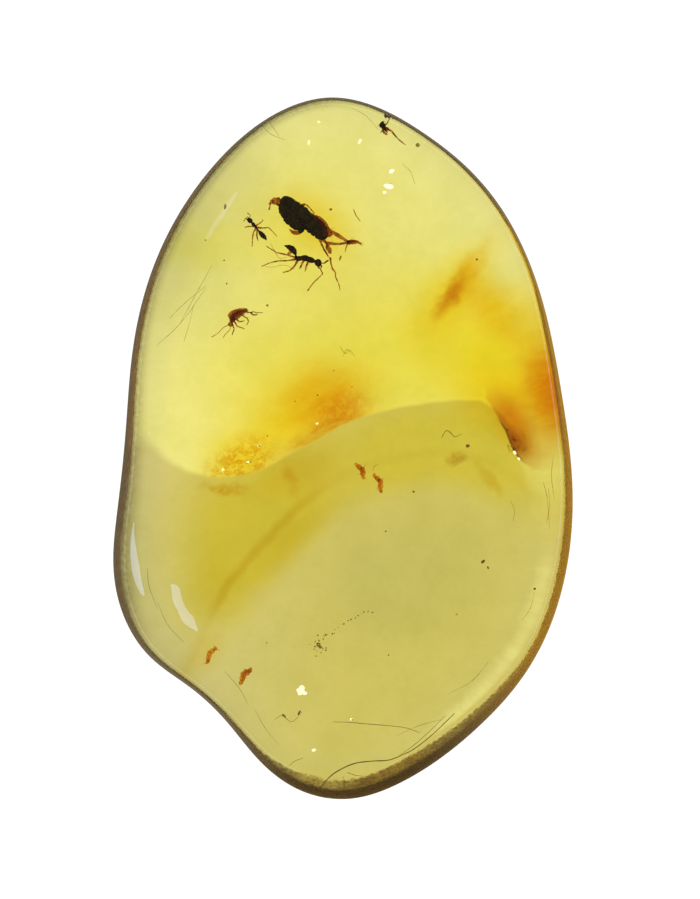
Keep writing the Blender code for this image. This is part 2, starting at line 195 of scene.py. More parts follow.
def line(*pixels):
    return np.array([at(x, y) for x, y in pixels])


def curved(points, count):
    """Count points along the Catmull-Rom curve through the given ones."""
    knots = np.asarray(points, float)
    knots = np.vstack([2 * knots[0] - knots[1], knots, 2 * knots[-1] - knots[-2]])
    spans = len(knots) - 3
    drawn = []
    for place in np.linspace(0, spans, count):
        i = min(int(place), spans - 1)
        t = place - i
        a, b, c, d = knots[i:i + 4]
        bend, twist = 2 * a - 5 * b + 4 * c - d, 3 * b - a - 3 * c + d
        drawn.append(0.5 * (2 * b + (c - a) * t + bend * t**2 + twist * t**3))
    return np.array(drawn)


def gap_to(spots, path):
    """How far each plan spot is from a closed path, in millimetres."""
    nearest = np.full(len(spots), 1e9)
    for start, end in zip(path, np.roll(path, -1, 0)):
        run = end - start
        share = np.clip(((spots - start) @ run) / max(run @ run, 1e-12), 0, 1)
        nearest = np.minimum(nearest, np.linalg.norm(spots - start - share[:, None] * run, axis=1))
    return nearest


def inside(spots, path):
    """True for each plan spot within a closed path."""
    within = np.zeros(len(spots), bool)
    for (x0, y0), (x1, y1) in zip(path, np.roll(path, -1, 0)):
        crosses = (y0 > spots[:, 1]) != (y1 > spots[:, 1])
        reach = x0 + (spots[:, 1] - y0) * (x1 - x0) / (y1 - y0 + 1e-12)
        within ^= crosses & (spots[:, 0] < reach)
    return within


def depth_in(spots, path):
    """Distance to a closed path, positive within it."""
    away = gap_to(spots, path)
    return np.where(inside(spots, path), away, -away)


# ---------------------------------------------------------------- materials

PATCHES = {  # centre in the photograph's pixels, half sizes in millimetres, heading, and its core's share
    "rim_right": ((585, 545), (8.5, 15.0), 0, 0.55),
    "rim_foot": ((400, 800), (7.0, 5.5), 0, 0.5),
    "rim_toe": ((313, 800), (3.4, 3.4), 0, 0.4),
    "rim_crown": ((258, 138), (9.5, 3.8), 33, 0.4),
    "painted_edge_highlight": ((508, 662), (10.5, 5.5), 55, 0.6),
    "dim_corner": ((150, 190), (10.5, 11.5), 0, 0.3),
    "clear_left": ((215, 425), (8.5, 6.5), 0, 0.1),
    "grey_heart": ((410, 580), (8.5, 6.0), 20, 0.2),
    "strong_arc": ((262, 550), (6.5, 7.0), -45, 0.4),
    "crack_patch": ((509, 430), (3.9, 3.0), -60, 0.2),
    "crack_heart": ((512, 442), (1.5, 0.9), -58, 0.1),
    "crack_lip": ((507, 441), (1.9, 1.3), -58, 0.5),
    "crack_veins": ((513, 444), (1.0, 0.9), 0, 0.2),
}
WHITE, BLACK = (1.0, 1.0, 1.0), (0.0, 0.0, 0.0)


class Look:
    """A node material, written as short calls. Lengths in it are millimetres."""

    def __init__(self, name):
        self.material = bpy.data.materials.new(name)
        self.material.use_nodes = True
        self.tree = self.material.node_tree
        self.shader = self.tree.nodes["Principled BSDF"]
        self.output = self.tree.nodes["Material Output"]
        self.place = self.vector("SCALE", self.node("ShaderNodeTexCoord").outputs["Object"], scale=1000.0)

    def node(self, kind, **settings):
        made = self.tree.nodes.new(kind)
        for key, value in settings.items():
            setattr(made, key, value)
        return made

    def feed(self, socket, value):
        if isinstance(value, bpy.types.NodeSocket):
            self.tree.links.new(value, socket)
        elif hasattr(value, "__len__") and len(value) == 3 and socket.type == "RGBA":
            socket.default_value = (*value, 1.0)
        else:
            socket.default_value = value

    def set(self, **values):
        for key, value in values.items():
            self.feed(self.shader.inputs[key.replace("_", " ")], value)
        return self

    def fed(self, kind, *values, **settings):
        """A node with its first sockets fed in order."""
        made = self.node(kind, **settings)
        for socket, value in zip(made.inputs, values):
            self.feed(socket, value)
        return made

    def maths(self, operation, *values):
        return self.fed("ShaderNodeMath", *values, operation=operation).outputs[0]

    def mul(self, first, second):
        return self.maths("MULTIPLY", first, second)

    def add(self, first, second):
        return self.maths("ADD", first, second)

    def sub(self, first, second):
        return self.maths("SUBTRACT", first, second)

    def vector(self, operation, *values, scale=None):
        made = self.fed("ShaderNodeVectorMath", *values, operation=operation)
        if scale is not None:
            self.feed(made.inputs["Scale"], scale)
        return made.outputs["Value"] if operation in ("LENGTH", "DOT_PRODUCT") else made.outputs[0]

    def texture(self, kind, place, **values):
        made = self.node(kind)
        self.feed(made.inputs["Vector"], self.place if place is None else place)
        for key, value in values.items():
            self.feed(made.inputs[key], value)
        return made.outputs

    def noise(self, scale, detail=3.0, place=None, rough=0.55, colour=False):
        made = self.texture("ShaderNodeTexNoise", place, Scale=scale, Detail=detail, Roughness=rough)
        return made["Color" if colour else "Fac"]

    def cells(self, scale):
        return self.texture("ShaderNodeTexVoronoi", None, Scale=scale)["Distance"]

    def ramp(self, value, low, high, to_low=0.0, to_high=1.0, smooth=True):
        settings = {"clamp": True, "interpolation_type": "SMOOTHSTEP" if smooth else "LINEAR"}
        return self.fed("ShaderNodeMapRange", value, low, high, to_low, to_high, **settings).outputs[0]

    def toward(self, way, low, high, to_low=0.0, to_high=1.0, place=None):
        """A ramp over how far the place lies along a direction."""
        along = self.vector("DOT_PRODUCT", self.place if place is None else place, way)
        return self.ramp(along, low, high, to_low, to_high)

    def warped(self, scale, amount, place=None):
        """The place, pushed about by noise."""
        source = self.place if place is None else place
        push = self.vector("SUBTRACT", self.noise(scale, 3.0, source, colour=True), (0.5, 0.5, 0.5))
        return self.vector("ADD", source, self.vector("SCALE", push, scale=2.0 * amount))

    def turned(self, place, heading):
        """The place, seen along a heading in plan."""
        made = self.node("ShaderNodeVectorRotate", rotation_type="Z_AXIS")
        self.feed(made.inputs["Vector"], place)
        self.feed(made.inputs["Angle"], -math.radians(heading))
        return made.outputs[0]

    def spot(self, centre, half, heading, core, place=None):
        """1 in the core of a turned ellipse round a pixel of the photograph, falling to 0 at its edge."""
        moved = self.vector("SUBTRACT", self.place if place is None else place, (*at(*centre), 0.0))
        shrunk = self.vector("MULTIPLY", self.turned(moved, heading), (1 / half[0], 1 / half[1], 0.0))
        return self.ramp(self.vector("LENGTH", shrunk), core, 1.0, 1.0, 0.0)

    def patch(self, name, place=None):
        return self.spot(*PATCHES[name], place)

    def kept(self, name):
        """A value that the mesh carries."""
        return self.node("ShaderNodeAttribute", attribute_name=name).outputs["Fac"]

    def mix(self, share, first, second, blend="MIX"):
        made = self.node("ShaderNodeMix", data_type="RGBA", blend_type=blend)
        for index, value in ((0, share), (6, first), (7, second)):
            self.feed(made.inputs[index], value)
        return made.outputs[2]

    def times(self, first, second):
        return self.mix(1.0, first, second, "MULTIPLY")

    def tinted(self, colour, *tints):
        """The colour, multiplied by each tint where its share is 1."""
        for share, tint in tints:
            colour = self.times(colour, self.mix(share, WHITE, tint))
        return colour

    def film(self, colour):
        """The material, which only lets light through, tinted."""
        self.tree.nodes.remove(self.shader)
        clear = self.node("ShaderNodeBsdfTransparent")
        self.feed(clear.inputs["Color"], colour)
        self.tree.links.new(clear.outputs[0], self.output.inputs["Surface"])
        return self.material

    def glowing(self, colour, strength=1.0):
        """The material, which only gives light."""
        self.set(Base_Color=BLACK, Roughness=1.0, Specular_IOR_Level=0.0)
        return self.set(Emission_Color=colour, Emission_Strength=strength).material

    def bumps(self, height, strength, distance):
        made = self.node("ShaderNodeBump")
        made.inputs["Strength"].default_value = strength
        made.inputs["Distance"].default_value = distance * MM
        self.feed(made.inputs["Height"], height)
        self.feed(self.shader.inputs["Normal"], made.outputs[0])
        return self


# ---------------------------------------------------------------- the amber


AMBER_IOR = 1.54
AMBER_ABSORBS = (0.921, 0.857, 0.0)
AMBER_DENSITY = 183.0  # to a metre


def amber_mesh():
    bm = bmesh.new()
    loops = [
        [bm.verts.new(Vector((x, y, z)) * MM) for (x, y), z in zip(loop, heights)]
        for loop, heights in pebble_rings()
    ]
    for lower, upper in zip(loops, loops[1:]):
        band(bm, lower, upper)
    bm.faces.new(loops[0][::-1])
    bm.faces.new(loops[-1])
    return mesh_of("amber", bm)


def amber_look():
    """Clear and polished; ground and browner through the thin rind that is left on its side wall, a brown that
    is also painted shade; painted shade inside the left wall.
    """
    look = Look("clear_amber_polished")
    in_plan = look.vector("MULTIPLY", look.place, (1, 1, 0.04))  # the wall is steep, so grain runs down it
    grain = look.noise(3.6, 4.0, in_plan, rough=0.72)
    streaks = look.noise(1.1, 3.0, in_plan)
    rind = look.add(look.kept("rind"), look.mul(look.sub(grain, 0.5), 0.35))
    # the side wall's brown: a rind tint, and painted shade standing in for the dark rim the wall shows from
    # above
    side = look.ramp(rind, 0.93, 1.07, 1.0, 0.0)
    orange = look.mix(look.ramp(rind, 0.2, 0.8), (0.72, 0.46, 0.06), (1.0, 0.78, 0.04))
    golden = look.mix(look.ramp(rind, 0.40, 0.95), (0.50, 0.30, 0.06), (0.33, 0.18, 0.04))
    brown = (0.42, 0.38, 0.28)
    for patch, tint in (
        ("rim_right", orange),
        ("rim_foot", golden),
        ("rim_toe", (1.0, 0.82, 0.36)),
        ("rim_crown", (1.0, 0.95, 0.82)),
    ):
        brown = look.mix(look.patch(patch), brown, tint)
    blotch = look.ramp(look.add(look.mul(streaks, 0.4), look.mul(grain, 0.6)), 0.4, 0.6)
    brown = look.times(brown, look.mix(blotch, (0.26, 0.22, 0.15), WHITE))
    # painted shade inside the left wall, darker towards it, in grains
    left_painted_shade = look.mul(look.ramp(rind, 1.0, 3.3, 1.0, 0.0), look.toward((-0.93, 0.36, 0.0), 6.0, 10.0))
    left_painted_shade = look.mul(left_painted_shade, look.ramp(grain, 0.35, 0.65, 0.7, 1.0))
    clear = look.mix(left_painted_shade, WHITE, (0.13, 0.12, 0.13))
    look.set(Base_Color=look.mix(side, clear, brown), IOR=AMBER_IOR, Transmission_Weight=1.0)
    look.set(Roughness=look.ramp(side, 0.0, 1.0, 0.0, 0.1), Specular_Tint=(1.0, 0.9, 0.78))
    ground = look.mul(look.noise(4.0, 5.0, in_plan, rough=0.7), side)
    look.bumps(look.add(ground, look.mul(look.noise(0.22, 2.0), 0.5)), 1.0, 0.12)
    absorb = look.node("ShaderNodeVolumeAbsorption")
    look.feed(absorb.inputs["Color"], AMBER_ABSORBS)
    look.feed(absorb.inputs["Density"], AMBER_DENSITY)
    look.tree.links.new(absorb.outputs[0], look.output.inputs["Volume"])
    return look.material


def settled(obj, levels):
    """The object with its subdivision applied."""
    smooth = obj.modifiers.new("smooth", "SUBSURF")
    smooth.levels = smooth.render_levels = levels
    bpy.context.view_layer.update()
    mesh = bpy.data.meshes.new_from_object(obj.evaluated_get(bpy.context.evaluated_depsgraph_get()))
    obj.modifiers.clear()
    obj.data = mesh
    return obj


def bubbles(mesh):
    """Round hollows, their walls facing inwards."""
    bm = bmesh.new()
    bm.from_mesh(mesh)
    for centre, radius, rise in BUBBLES.values():
        made = bmesh.ops.create_icosphere(bm, subdivisions=3, radius=radius * MM)["verts"]
        bmesh.ops.translate(bm, verts=made, vec=Vector((*at(*centre), FLOW_PLANE + rise)) * MM)
        bmesh.ops.reverse_faces(bm, faces=list({face for vert in made for face in vert.link_faces}))
    for face in bm.faces:
        face.smooth = True
    bm.to_mesh(mesh)
    bm.free()


def amber():
    obj = settled(new_object("amber", amber_mesh(), amber_look()), 3)
    bubbles(obj.data)
    spots = np.array([v.co[:2] for v in obj.data.vertices]) / MM
    bevel = bevel_at(np.arctan2(spots[:, 1], spots[:, 0]))[0]
    rind = depth_in(spots, smooth_loop(OUTLINE, 300) - MIDDLE) / bevel  # 1 where the crown begins
    obj.data.attributes.new("rind", "FLOAT", "POINT").data.foreach_set("value", rind.astype(np.float32))
    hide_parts("amber_lower", "amber_upper")
    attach(obj, "root")
    return obj


# ---------------------------------------------------------------- colour and painted shade inside the amber

OUTER_ARC = line(
    (100, 318), (128, 342), (146, 374), (154, 402), (160, 430), (171, 452), (189, 467), (210, 475),
    (234, 477), (262, 470), (290, 455), (320, 438), (350, 421), (390, 409), (430, 403), (462, 400),
    (484, 404), (503, 422), (514, 445), (526, 464), (540, 484), (556, 505), (590, 530),
)
INNER_ARC = line(
    (196, 672), (208, 634), (222, 604), (240, 575), (264, 548), (296, 514), (330, 488), (362, 471),
    (400, 462),
    (445, 457), (480, 465), (506, 480), (528, 505), (546, 540), (560, 580), (590, 640),
)
BEYOND = np.array([(24, -8), (24, -30), (-24, -30), (-24, -8)])  # closes the arcs outside the blunt end


def sheet(name, height, look, step, inset, window=None, carried=()):
    """A thin surface inside the stone, out to its wall or to a window in plan, at height(x, y)."""
    low, high = (EDGE.min(0), EDGE.max(0)) if window is None else (np.array(window[0]), np.array(window[1]))
    columns, rows = (int(math.ceil(size / step)) + 1 for size in high - low)
    xs, ys = np.meshgrid(np.linspace(low[0], high[0], columns), np.linspace(low[1], high[1], rows))
    spots = np.stack([xs.ravel(), ys.ravel()], axis=1)
    kept = depth_in(spots, EDGE) > inset
    places = np.column_stack([spots, height(spots[:, 0], spots[:, 1])]) * MM
    cells = [
        (r * columns + c, r * columns + c + 1, (r + 1) * columns + c + 1, (r + 1) * columns + c)
        for r in range(rows - 1)
        for c in range(columns - 1)
    ]
    cells = [cell for cell in cells if all(kept[i] for i in cell)]
    used = sorted({i for cell in cells for i in cell})
    order = {old: new for new, old in enumerate(used)}
    mesh = bpy.data.meshes.new(name)
    mesh.from_pydata(places[used].tolist(), [], [[order[i] for i in cell] for cell in cells])
    for key, values in carried:
        values = values(spots)[used].astype(np.float32)
        mesh.attributes.new(key, "FLOAT", "POINT").data.foreach_set("value", values)
    for polygon in mesh.polygons:
        polygon.use_smooth = True
    obj = new_object(name, mesh, look)
    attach(obj, "root")
    return obj


def flow_height(x, y):
    return 3.9 + 0.35 * np.sin(0.22 * x + 0.6) * np.cos(0.17 * y - 0.4) + 0.12 * np.sin(0.55 * x - 0.4 * y)


def rust_height(x, y):
    return 5.0 + 0.03 * x + 0.15 * np.sin(0.5 * y)


def fissure_height(x, y):
    return 5.2 + 0.4 * (x - 10.5)


# Stains: centre in the photograph's pixels, half sizes in millimetres, heading, core, how its edge
# wanders, how grainy it is, and what is left of red, green and blue.
UPPER_STAINS = {
    "warm_middle": ((395, 360), (13.5, 8.5), 0, 0.05, "slow", 0.0, (1.0, 0.955, 0.42)),
    "warm_left": ((262, 372), (6.0, 5.0), 0, 0.0, "slow", 0.0, (1.0, 0.985, 0.75)),
    "insect_halo": ((300, 234), (5.8, 5.0), -30, 0.0, "slow", 0.0, (0.99, 0.95, 0.52)),
    "insect_glow": ((318, 228), (3.8, 2.4), -42, 0.1, "fine", 0.1, (0.97, 0.84, 0.40)),
    "left_pool": ((215, 252), (4.2, 2.2), 0, 0.0, "slow", 0.0, (1.0, 0.98, 0.68)),
    "cloud_veil": ((298, 417), (7.8, 4.7), 26, 0.05, "slow", 0.1, (0.99, 0.85, 0.09)),
    "cloud": ((326, 403), (4.7, 3.3), 22, 0.1, "fine", 0.22, (0.95, 0.66, 0.03)),
    "cloud_core": ((338, 411), (3.2, 1.6), 26, 0.1, "crumb", 0.6, (0.88, 0.62, 0.35)),
    "arc_streak": ((320, 434), (4.0, 0.95), 29, 0.1, "fine", 0.4, (0.82, 0.62, 0.30)),
    "gold_halo": ((246, 460), (4.0, 3.0), 32, 0.1, "slow", 0.0, (1.0, 0.92, 0.22)),
    "gold": ((245, 467), (3.5, 2.2), 35, 0.3, "crumb", 0.85, (0.85, 0.56, 0.12)),
    "gold_base": ((233, 487), (2.2, 0.6), -4, 0.1, "crumb", 0.5, (0.85, 0.58, 0.16)),
}
LOWER_STAINS = {
    "left": ((265, 534), (8.0, 8.4), -20, 0.3, "slow", 0.0, (0.985, 0.915, 0.28)),
    "right": ((446, 456), (13.5, 6.6), 0, 0.3, "slow", 0.0, (1.0, 0.95, 0.36)),
    "under_cloud": ((300, 470), (4.5, 2.4), 28, 0.1, "slow", 0.1, (0.96, 0.88, 0.50)),
    "corner": ((212, 590), (2.8, 4.0), -18, 0.1, "fine", 0.0, (0.96, 0.92, 0.55)),
    "second_band": ((298, 540), (4.6, 1.5), 46, 0.1, "slow", 0.2, (0.94, 0.87, 0.40)),
    "brown_smudge": ((292, 478), (0.7, 1.5), 10, 0.1, "fine", 0.2, (0.92, 0.78, 0.5)),
    "flow_spot": ((451, 461), (0.9, 0.6), 10, 0.3, "crumb", 0.4, (0.78, 0.60, 0.42)),
}
ARC_SPOTS = {
    "gold_base": ((231, 489), (2.2, 0.6), -4, 0.1, "crumb", 0.5, (0.88, 0.64, 0.12)),
    "far_right": ((484, 480), (1.8, 0.6), -42, 0.1, "fine", 0.2, (0.92, 0.80, 0.5)),
    "by_low_flecks": ((206, 648), (2.2, 1.6), 50, 0.1, "slow", 0.0, (0.97, 0.90, 0.6)),
}
RUST_STAINS = {
    "field": ((495, 362), (9.0, 6.0), -38, 0.1, "slow", 0.0, (1.0, 0.91, 0.15)),
    "smear_halo": ((450, 295), (5.6, 2.4), 55, 0.05, "slow", 0.1, (0.98, 0.85, 0.14)),
    "lobe": ((490, 312), (4.8, 2.4), -52, 0.1, "slow", 0.2, (0.97, 0.75, 0.11)),
    "smear": ((458, 284), (4.2, 1.0), 56, 0.15, "fine", 0.25, (0.93, 0.70, 0.12)),
    "smear_core": ((448, 297), (2.3, 0.75), 58, 0.1, "fine", 0.3, (0.78, 0.50, 0.4)),
    "low_field": ((510, 402), (6.0, 3.4), -25, 0.1, "slow", 0.1, (1.0, 0.87, 0.20)),
    "edge_halo": ((545, 392), (3.5, 6.3), 10, 0.15, "slow", 0.1, (0.96, 0.76, 0.16)),
    "crack_halo": ((504, 428), (2.8, 1.3), -62, 0.1, "fine", 0.2, (1.0, 0.85, 0.5)),
    "edge_core": ((553, 390), (3.0, 4.8), 12, 0.25, "fine", 0.15, (0.78, 0.31, 0.08)),
}


def stained(look, colour, stains, within=None):
    """The colour with each of the stains laid over it."""
    slow, fine = look.warped(0.2, 1.1), look.warped(1.0, 0.42, look.warped(0.3, 0.7))
    drawn_out = look.vector("MULTIPLY", look.turned(look.warped(0.6, 0.5), 28.0), (0.35, 1.3, 1.0))
    grain = look.ramp(look.noise(1.9, 5.0, drawn_out, rough=0.7), 0.36, 0.64)
    crumbs = look.ramp(look.noise(2.6, 5.0, rough=0.75), 0.40, 0.60)
    kinds = {"slow": (slow, grain), "fine": (fine, grain), "crumb": (fine, crumbs)}
    for centre, half, heading, core, edge, gritty, tint in stains.values():
        place, grit = kinds[edge]
        share = look.spot(centre, half, heading, core, place)
        if gritty:
            share = look.mul(share, look.ramp(grit, 0.0, 1.0, 1.0 - gritty, 1.0, smooth=False))
        if within is not None:
            share = look.mul(share, within)
        colour = look.tinted(colour, (share, tint))
    return colour


def flow_look():
    """Stains in the resin at the flow plane; painted shade below an arc and towards the wall, and a painted
    highlight along the lower right wall.
    """
    look = Look("resin_stains_and_painted_shade")
    inner, depth = look.kept("inner"), look.kept("depth")
    leftness = look.toward((1, 0, 0), -12.5, -7.0, 1.0, 0.0)
    far_right = look.toward((1, 0, 0), 10.4, 13.0, 0.0, 4.0)
    fade = look.add(look.add(0.30, look.mul(leftness, 0.4)), far_right)
    lower = look.add(look.kept("lower"), look.mul(look.noise(0.6), 0.25))
    below = look.ramp(lower, look.sub(0.02, far_right), fade)
    # painted highlight: brighter along the lower right wall, where the painted shade is lifted
    ragged = look.add(depth, look.mul(look.noise(2.0), 0.5))
    painted_edge_highlight = look.mul(look.patch("painted_edge_highlight"), look.ramp(ragged, 2.1, 3.0, 1.0, 0.0))
    off_painted_highlight = look.sub(1.0, painted_edge_highlight)
    below = look.mul(below, look.sub(1.0, look.mul(painted_edge_highlight, 0.9)))
    slow = look.warped(0.2, 1.1)
    mottle = look.ramp(look.noise(0.35, 8.0, rough=0.72), 0.32, 0.68)
    colour = look.tinted(
        look.mix(mottle, WHITE, (0.93, 0.935, 0.87)),
        # painted shade: duller towards the wall, most of all up and to the left, and darker in the upper left
        # corner; yellower towards the lower right, painted for the light's path there; dimmer outside a clear
        # patch on the left
        (look.mul(look.ramp(depth, 0.0, 3.6, 1.0, 0.0), off_painted_highlight), (0.90, 0.91, 0.90)),
        (look.mul(look.toward((0.75, -0.66, 0), 2.0, 13.0), off_painted_highlight), (0.99, 0.975, 0.76)),
        (look.mul(leftness, look.ramp(depth, 0.8, 4.4, 1.0, 0.0)), (0.86, 0.87, 0.92)),
        (look.patch("dim_corner", slow), (0.80, 0.80, 0.80)),
        (look.sub(1.0, look.patch("clear_left", slow)), (0.93, 0.94, 0.98)),
    )
    colour = stained(look, colour, UPPER_STAINS, look.sub(1.0, below))
    # painted shade: duller and greyer below the outer arc, with a greyer patch in its middle; stains tinted
    # between the two arcs
    colour = look.tinted(
        colour, (below, (0.775, 0.735, 0.77)), (look.patch("grey_heart", slow), (0.91, 0.935, 1.0))
    )
    between = look.ramp(look.add(inner, look.noise(0.35)), 0.9, 3.4, 1.0, 0.0)
    colour = stained(look, colour, LOWER_STAINS, look.mul(below, between))
    wander = look.add(inner, look.mul(look.noise(0.9, 4.0), 0.5))
    along = look.ramp(look.maths("ABSOLUTE", wander), 0.0, 0.55, 1.0, 0.0)
    along = look.mul(along, look.maths("MAXIMUM", look.mul(look.patch("strong_arc"), 0.9), 0.22))
    return look.film(stained(look, look.tinted(colour, (along, (0.90, 0.79, 0.42))), ARC_SPOTS))


def stain_look():
    """Rusty resin along old cracks, on the right of the stone."""
    look = Look("rust_stains")
    return look.film(stained(look, WHITE, RUST_STAINS))


CRACK = line((482, 399), (489, 409), (496, 421), (502, 431), (507, 444), (512, 454), (518, 461), (527, 470))
CRACK_SIDE = line((640, 470), (640, 330), (482, 330))  # closes the crack round the side that its film lies on


def fissure_look():
    """The brown film on the crack by the flow's edge: sharp on its lower left, soft on the other side."""
    look = Look("fissure_film")
    fine = look.warped(0.9, 0.3)
    crack = look.kept("crack")
    threads = look.ramp(look.maths("ABSOLUTE", look.sub(look.noise(1.3), 0.5)), 0.0, 0.035, 1.0, 0.0)
    body = look.mul(look.ramp(crack, -0.08, 0.12), look.ramp(crack, 0.8, 2.6, 1.0, 0.0))
    body = look.mul(body, look.patch("crack_patch", fine))
    lip = look.ramp(look.maths("ABSOLUTE", crack), 0.0, 0.13, 1.0, 0.0)
    return look.film(look.tinted(
        WHITE,
        (body, (0.78, 0.42, 0.04)),
        (look.mul(look.patch("crack_heart", fine), body), (0.62, 0.42, 0.35)),
        (look.mul(lip, look.patch("crack_lip")), (0.35, 0.20, 0.10)),
        (look.mul(threads, look.patch("crack_veins")), (0.35, 0.18, 0.08)),
    ))


def colour_inside():
    def within(path):
        return lambda spots: depth_in(spots, path)

    beyond = np.vstack([curved(CRACK, 40), CRACK_SIDE])
    lower, inner = (np.vstack([curved(arc, 90), BEYOND]) for arc in (OUTER_ARC, INNER_ARC))
    sheet("rust", rust_height, stain_look(), 0.2, 0.15, ((2.5, -2), (15, 15)))
    carried = [("crack", within(beyond))]
    sheet("fissure", fissure_height, fissure_look(), 0.15, 1.2, ((8.3, -2.2), (13.5, 5.0)), carried)
    carried = [("lower", within(lower)), ("inner", within(inner)), ("depth", within(EDGE))]
    # this sheet carries the resin's stains and the painted shade
    sheet("flow_sheet_stains_and_shade", flow_height, flow_look(), 0.25, 0.12, carried=carried)


# ---------------------------------------------------------------- small forms


def across(path):
    """Two directions across a path at each of its points, carried along it without a twist."""
    along = np.gradient(path, axis=0)
    along /= np.linalg.norm(along, axis=1)[:, None] + 1e-12
    side = np.cross(along[0], (0.0, 0.0, 1.0))
    if np.linalg.norm(side) < 0.1:
        side = np.cross(along[0], (0.0, 1.0, 0.0))
    sides = []
    for direction in along:
        side = side - direction * (side @ direction)
        side /= np.linalg.norm(side)
        sides.append(side)
    sides = np.array(sides)
    return along, sides, np.cross(sides, along)


def skin(bm, loops, first, last):
    """Closed skin over a row of loops, between two end points. All in millimetres."""
    rows = [[bm.verts.new(Vector(spot) * MM) for spot in loop] for loop in loops]
    ends = [bm.verts.new(Vector(spot) * MM) for spot in (first, last)]
    number = len(rows[0])
    for i in range(number):
        j = (i + 1) % number
        bm.faces.new((ends[0], rows[0][j], rows[0][i]))
        bm.faces.new((ends[1], rows[-1][i], rows[-1][j]))
        for lower, upper in zip(rows, rows[1:]):
            bm.faces.new((lower[i], lower[j], upper[j], upper[i]))


def grooves(along, number, depth):
    """Narrow rings cut in a body whose length runs from 0 to 1."""
    nearest = np.abs(along * number - np.round(along * number))
    return 1 - depth * np.exp(-((nearest / 0.11) ** 2)) * (np.round(along * number) % number != 0)


def tube(bm, points, radii, sides=8, steps=6, rings=0, depth=0.25):
    """A smooth closed tube through the points, ringed like an antenna or an abdomen."""
    path = curved(points, steps * (len(points) - 1) + 1)
    if path.shape[1] == 2:
        path = np.column_stack([path, 0 * path[:, 0]])
    thick = curved(np.reshape(radii, (-1, 1)), len(path))[:, 0]
    thick = np.maximum(thick, 0.004)
    if rings:
        thick = thick * grooves(np.linspace(0, 1, len(path)), rings, depth)
    along, level, up = across(path)
    turn = np.linspace(0, 2 * math.pi, sides, endpoint=False)
    loops = [
        spot + radius * (np.outer(np.cos(turn), side) + np.outer(np.sin(turn), rise))
        for spot, radius, side, rise in zip(path, thick, level, up)
    ]
    skin(bm, loops, path[0] - along[0] * thick[0] * 0.8, path[-1] + along[-1] * thick[-1] * 0.8)


def blob(bm, centre, half, heading=0.0, tilt=0.0, rings=18, sides=24, form=None, square=2.0):
    """A closed rounded body, its ends along its heading; form(along, around) scales its section."""
    spots = np.arange(1, rings) / rings * math.pi
    turn = np.linspace(0, 2 * math.pi, sides, endpoint=False)
    way = Matrix.Rotation(math.radians(heading), 3, "Z") @ Matrix.Rotation(-math.radians(tilt), 3, "Y")

    def placed(spot):
        return np.array(centre) + np.array(way @ Vector(spot))

    def even(value):
        return float(np.sign(value) * np.abs(value) ** (2 / square))

    loops = []
    for spot in spots:
        x, radius = -math.cos(spot), math.sin(spot) ** (2 / square)
        scale = radius * np.ones(sides) * (1 if form is None else form(x, turn))
        loops.append([
            placed((half[0] * even(x), half[1] * s * even(math.cos(t)), half[2] * s * even(math.sin(t))))
            for s, t in zip(scale, turn)
        ])
    skin(bm, loops, placed((-half[0], 0, 0)), placed((half[0], 0, 0)))


def hairs(bm, middle, half, count, length, draw, thick=0.008, heading=0.0):
    """Short stiff hairs standing out of a rounded body."""
    turned = Matrix.Rotation(math.radians(heading), 3, "Z")
    for _ in range(count):
        way = Vector(draw.normal(size=3)).normalized()
        root = Vector(a * b for a, b in zip(way, half)) * 0.94
        lean = way + Vector(draw.normal(size=3) * 0.2)
        tip = root + lean * (length * (0.6 + 0.5 * draw.random()) + 0.05 * max(half))
        spots = (root, (root + tip) / 2 + Vector((0, 0, 0.01)), tip)
        tube(bm, [tuple(Vector(middle) + turned @ spot) for spot in spots], (thick, thick * 0.7, 0.003), 4, 2)


def leg(bm, points, thick, draw, bristles=6):
    """Jointed leg: each link is stoutest past its joint, the foot is ringed, and it ends in two claws."""
    spots = [np.array(p, float) for p in points]
    for i, (start, end) in enumerate(zip(spots, spots[1:])):
        share = (1.0, 0.78, 0.6, 0.5, 0.45, 0.42, 0.4)[min(i, 6)] * thick
        run = end - start
        sag = np.array((0, 0, 0.04 * np.linalg.norm(run)))
        places = [start, start + 0.22 * run + sag * 0.6, start + 0.6 * run + sag, end]
        last = i == len(spots) - 2
        tube(bm, places, (share * 0.7, share * 1.15, share * 0.95, share * 0.6), 8, 5, rings=4 if last else 0)
        for _ in range(bristles):
            root = start + run * draw.uniform(0.15, 0.98)
            out = draw.normal(size=3)
            out -= run * (out @ run) / (run @ run + 1e-9)
            out /= np.linalg.norm(out) + 1e-9
            tip = root + out * share * draw.uniform(1.6, 2.6) + run / np.linalg.norm(run) * share * 1.6
            foot = root + out * share * 0.6
            tube(bm, [foot, (foot + tip) / 2, tip], (0.009, 0.007, 0.003), 4, 2)
    toward = spots[-1] - spots[-2]
    toward = toward / (np.linalg.norm(toward) + 1e-9)
    side = np.cross(toward, (0, 0, 1.0))
    for sign in (-1, 1):
        claw = ((0, 0), (0.7, 0.5), (1.3, 0.3))
        claw = [spots[-1] + (toward * ahead + sign * side * aside) * thick for ahead, aside in claw]
        tube(bm, claw, (0.016, 0.012, 0.004), 5, 3)


def feeler(bm, points, thick, number, club=1.0):
    """A beaded antenna, thicker towards its end where it has a club."""
    spots = [tuple(p) for p in points]
    radii = [thick * (1 + (club - 1) * (i / (len(spots) - 1)) ** 3) for i in range(len(spots))]
    tube(bm, spots, radii, 8, max(4, number * 6 // (len(spots) - 1)), rings=number, depth=0.35)


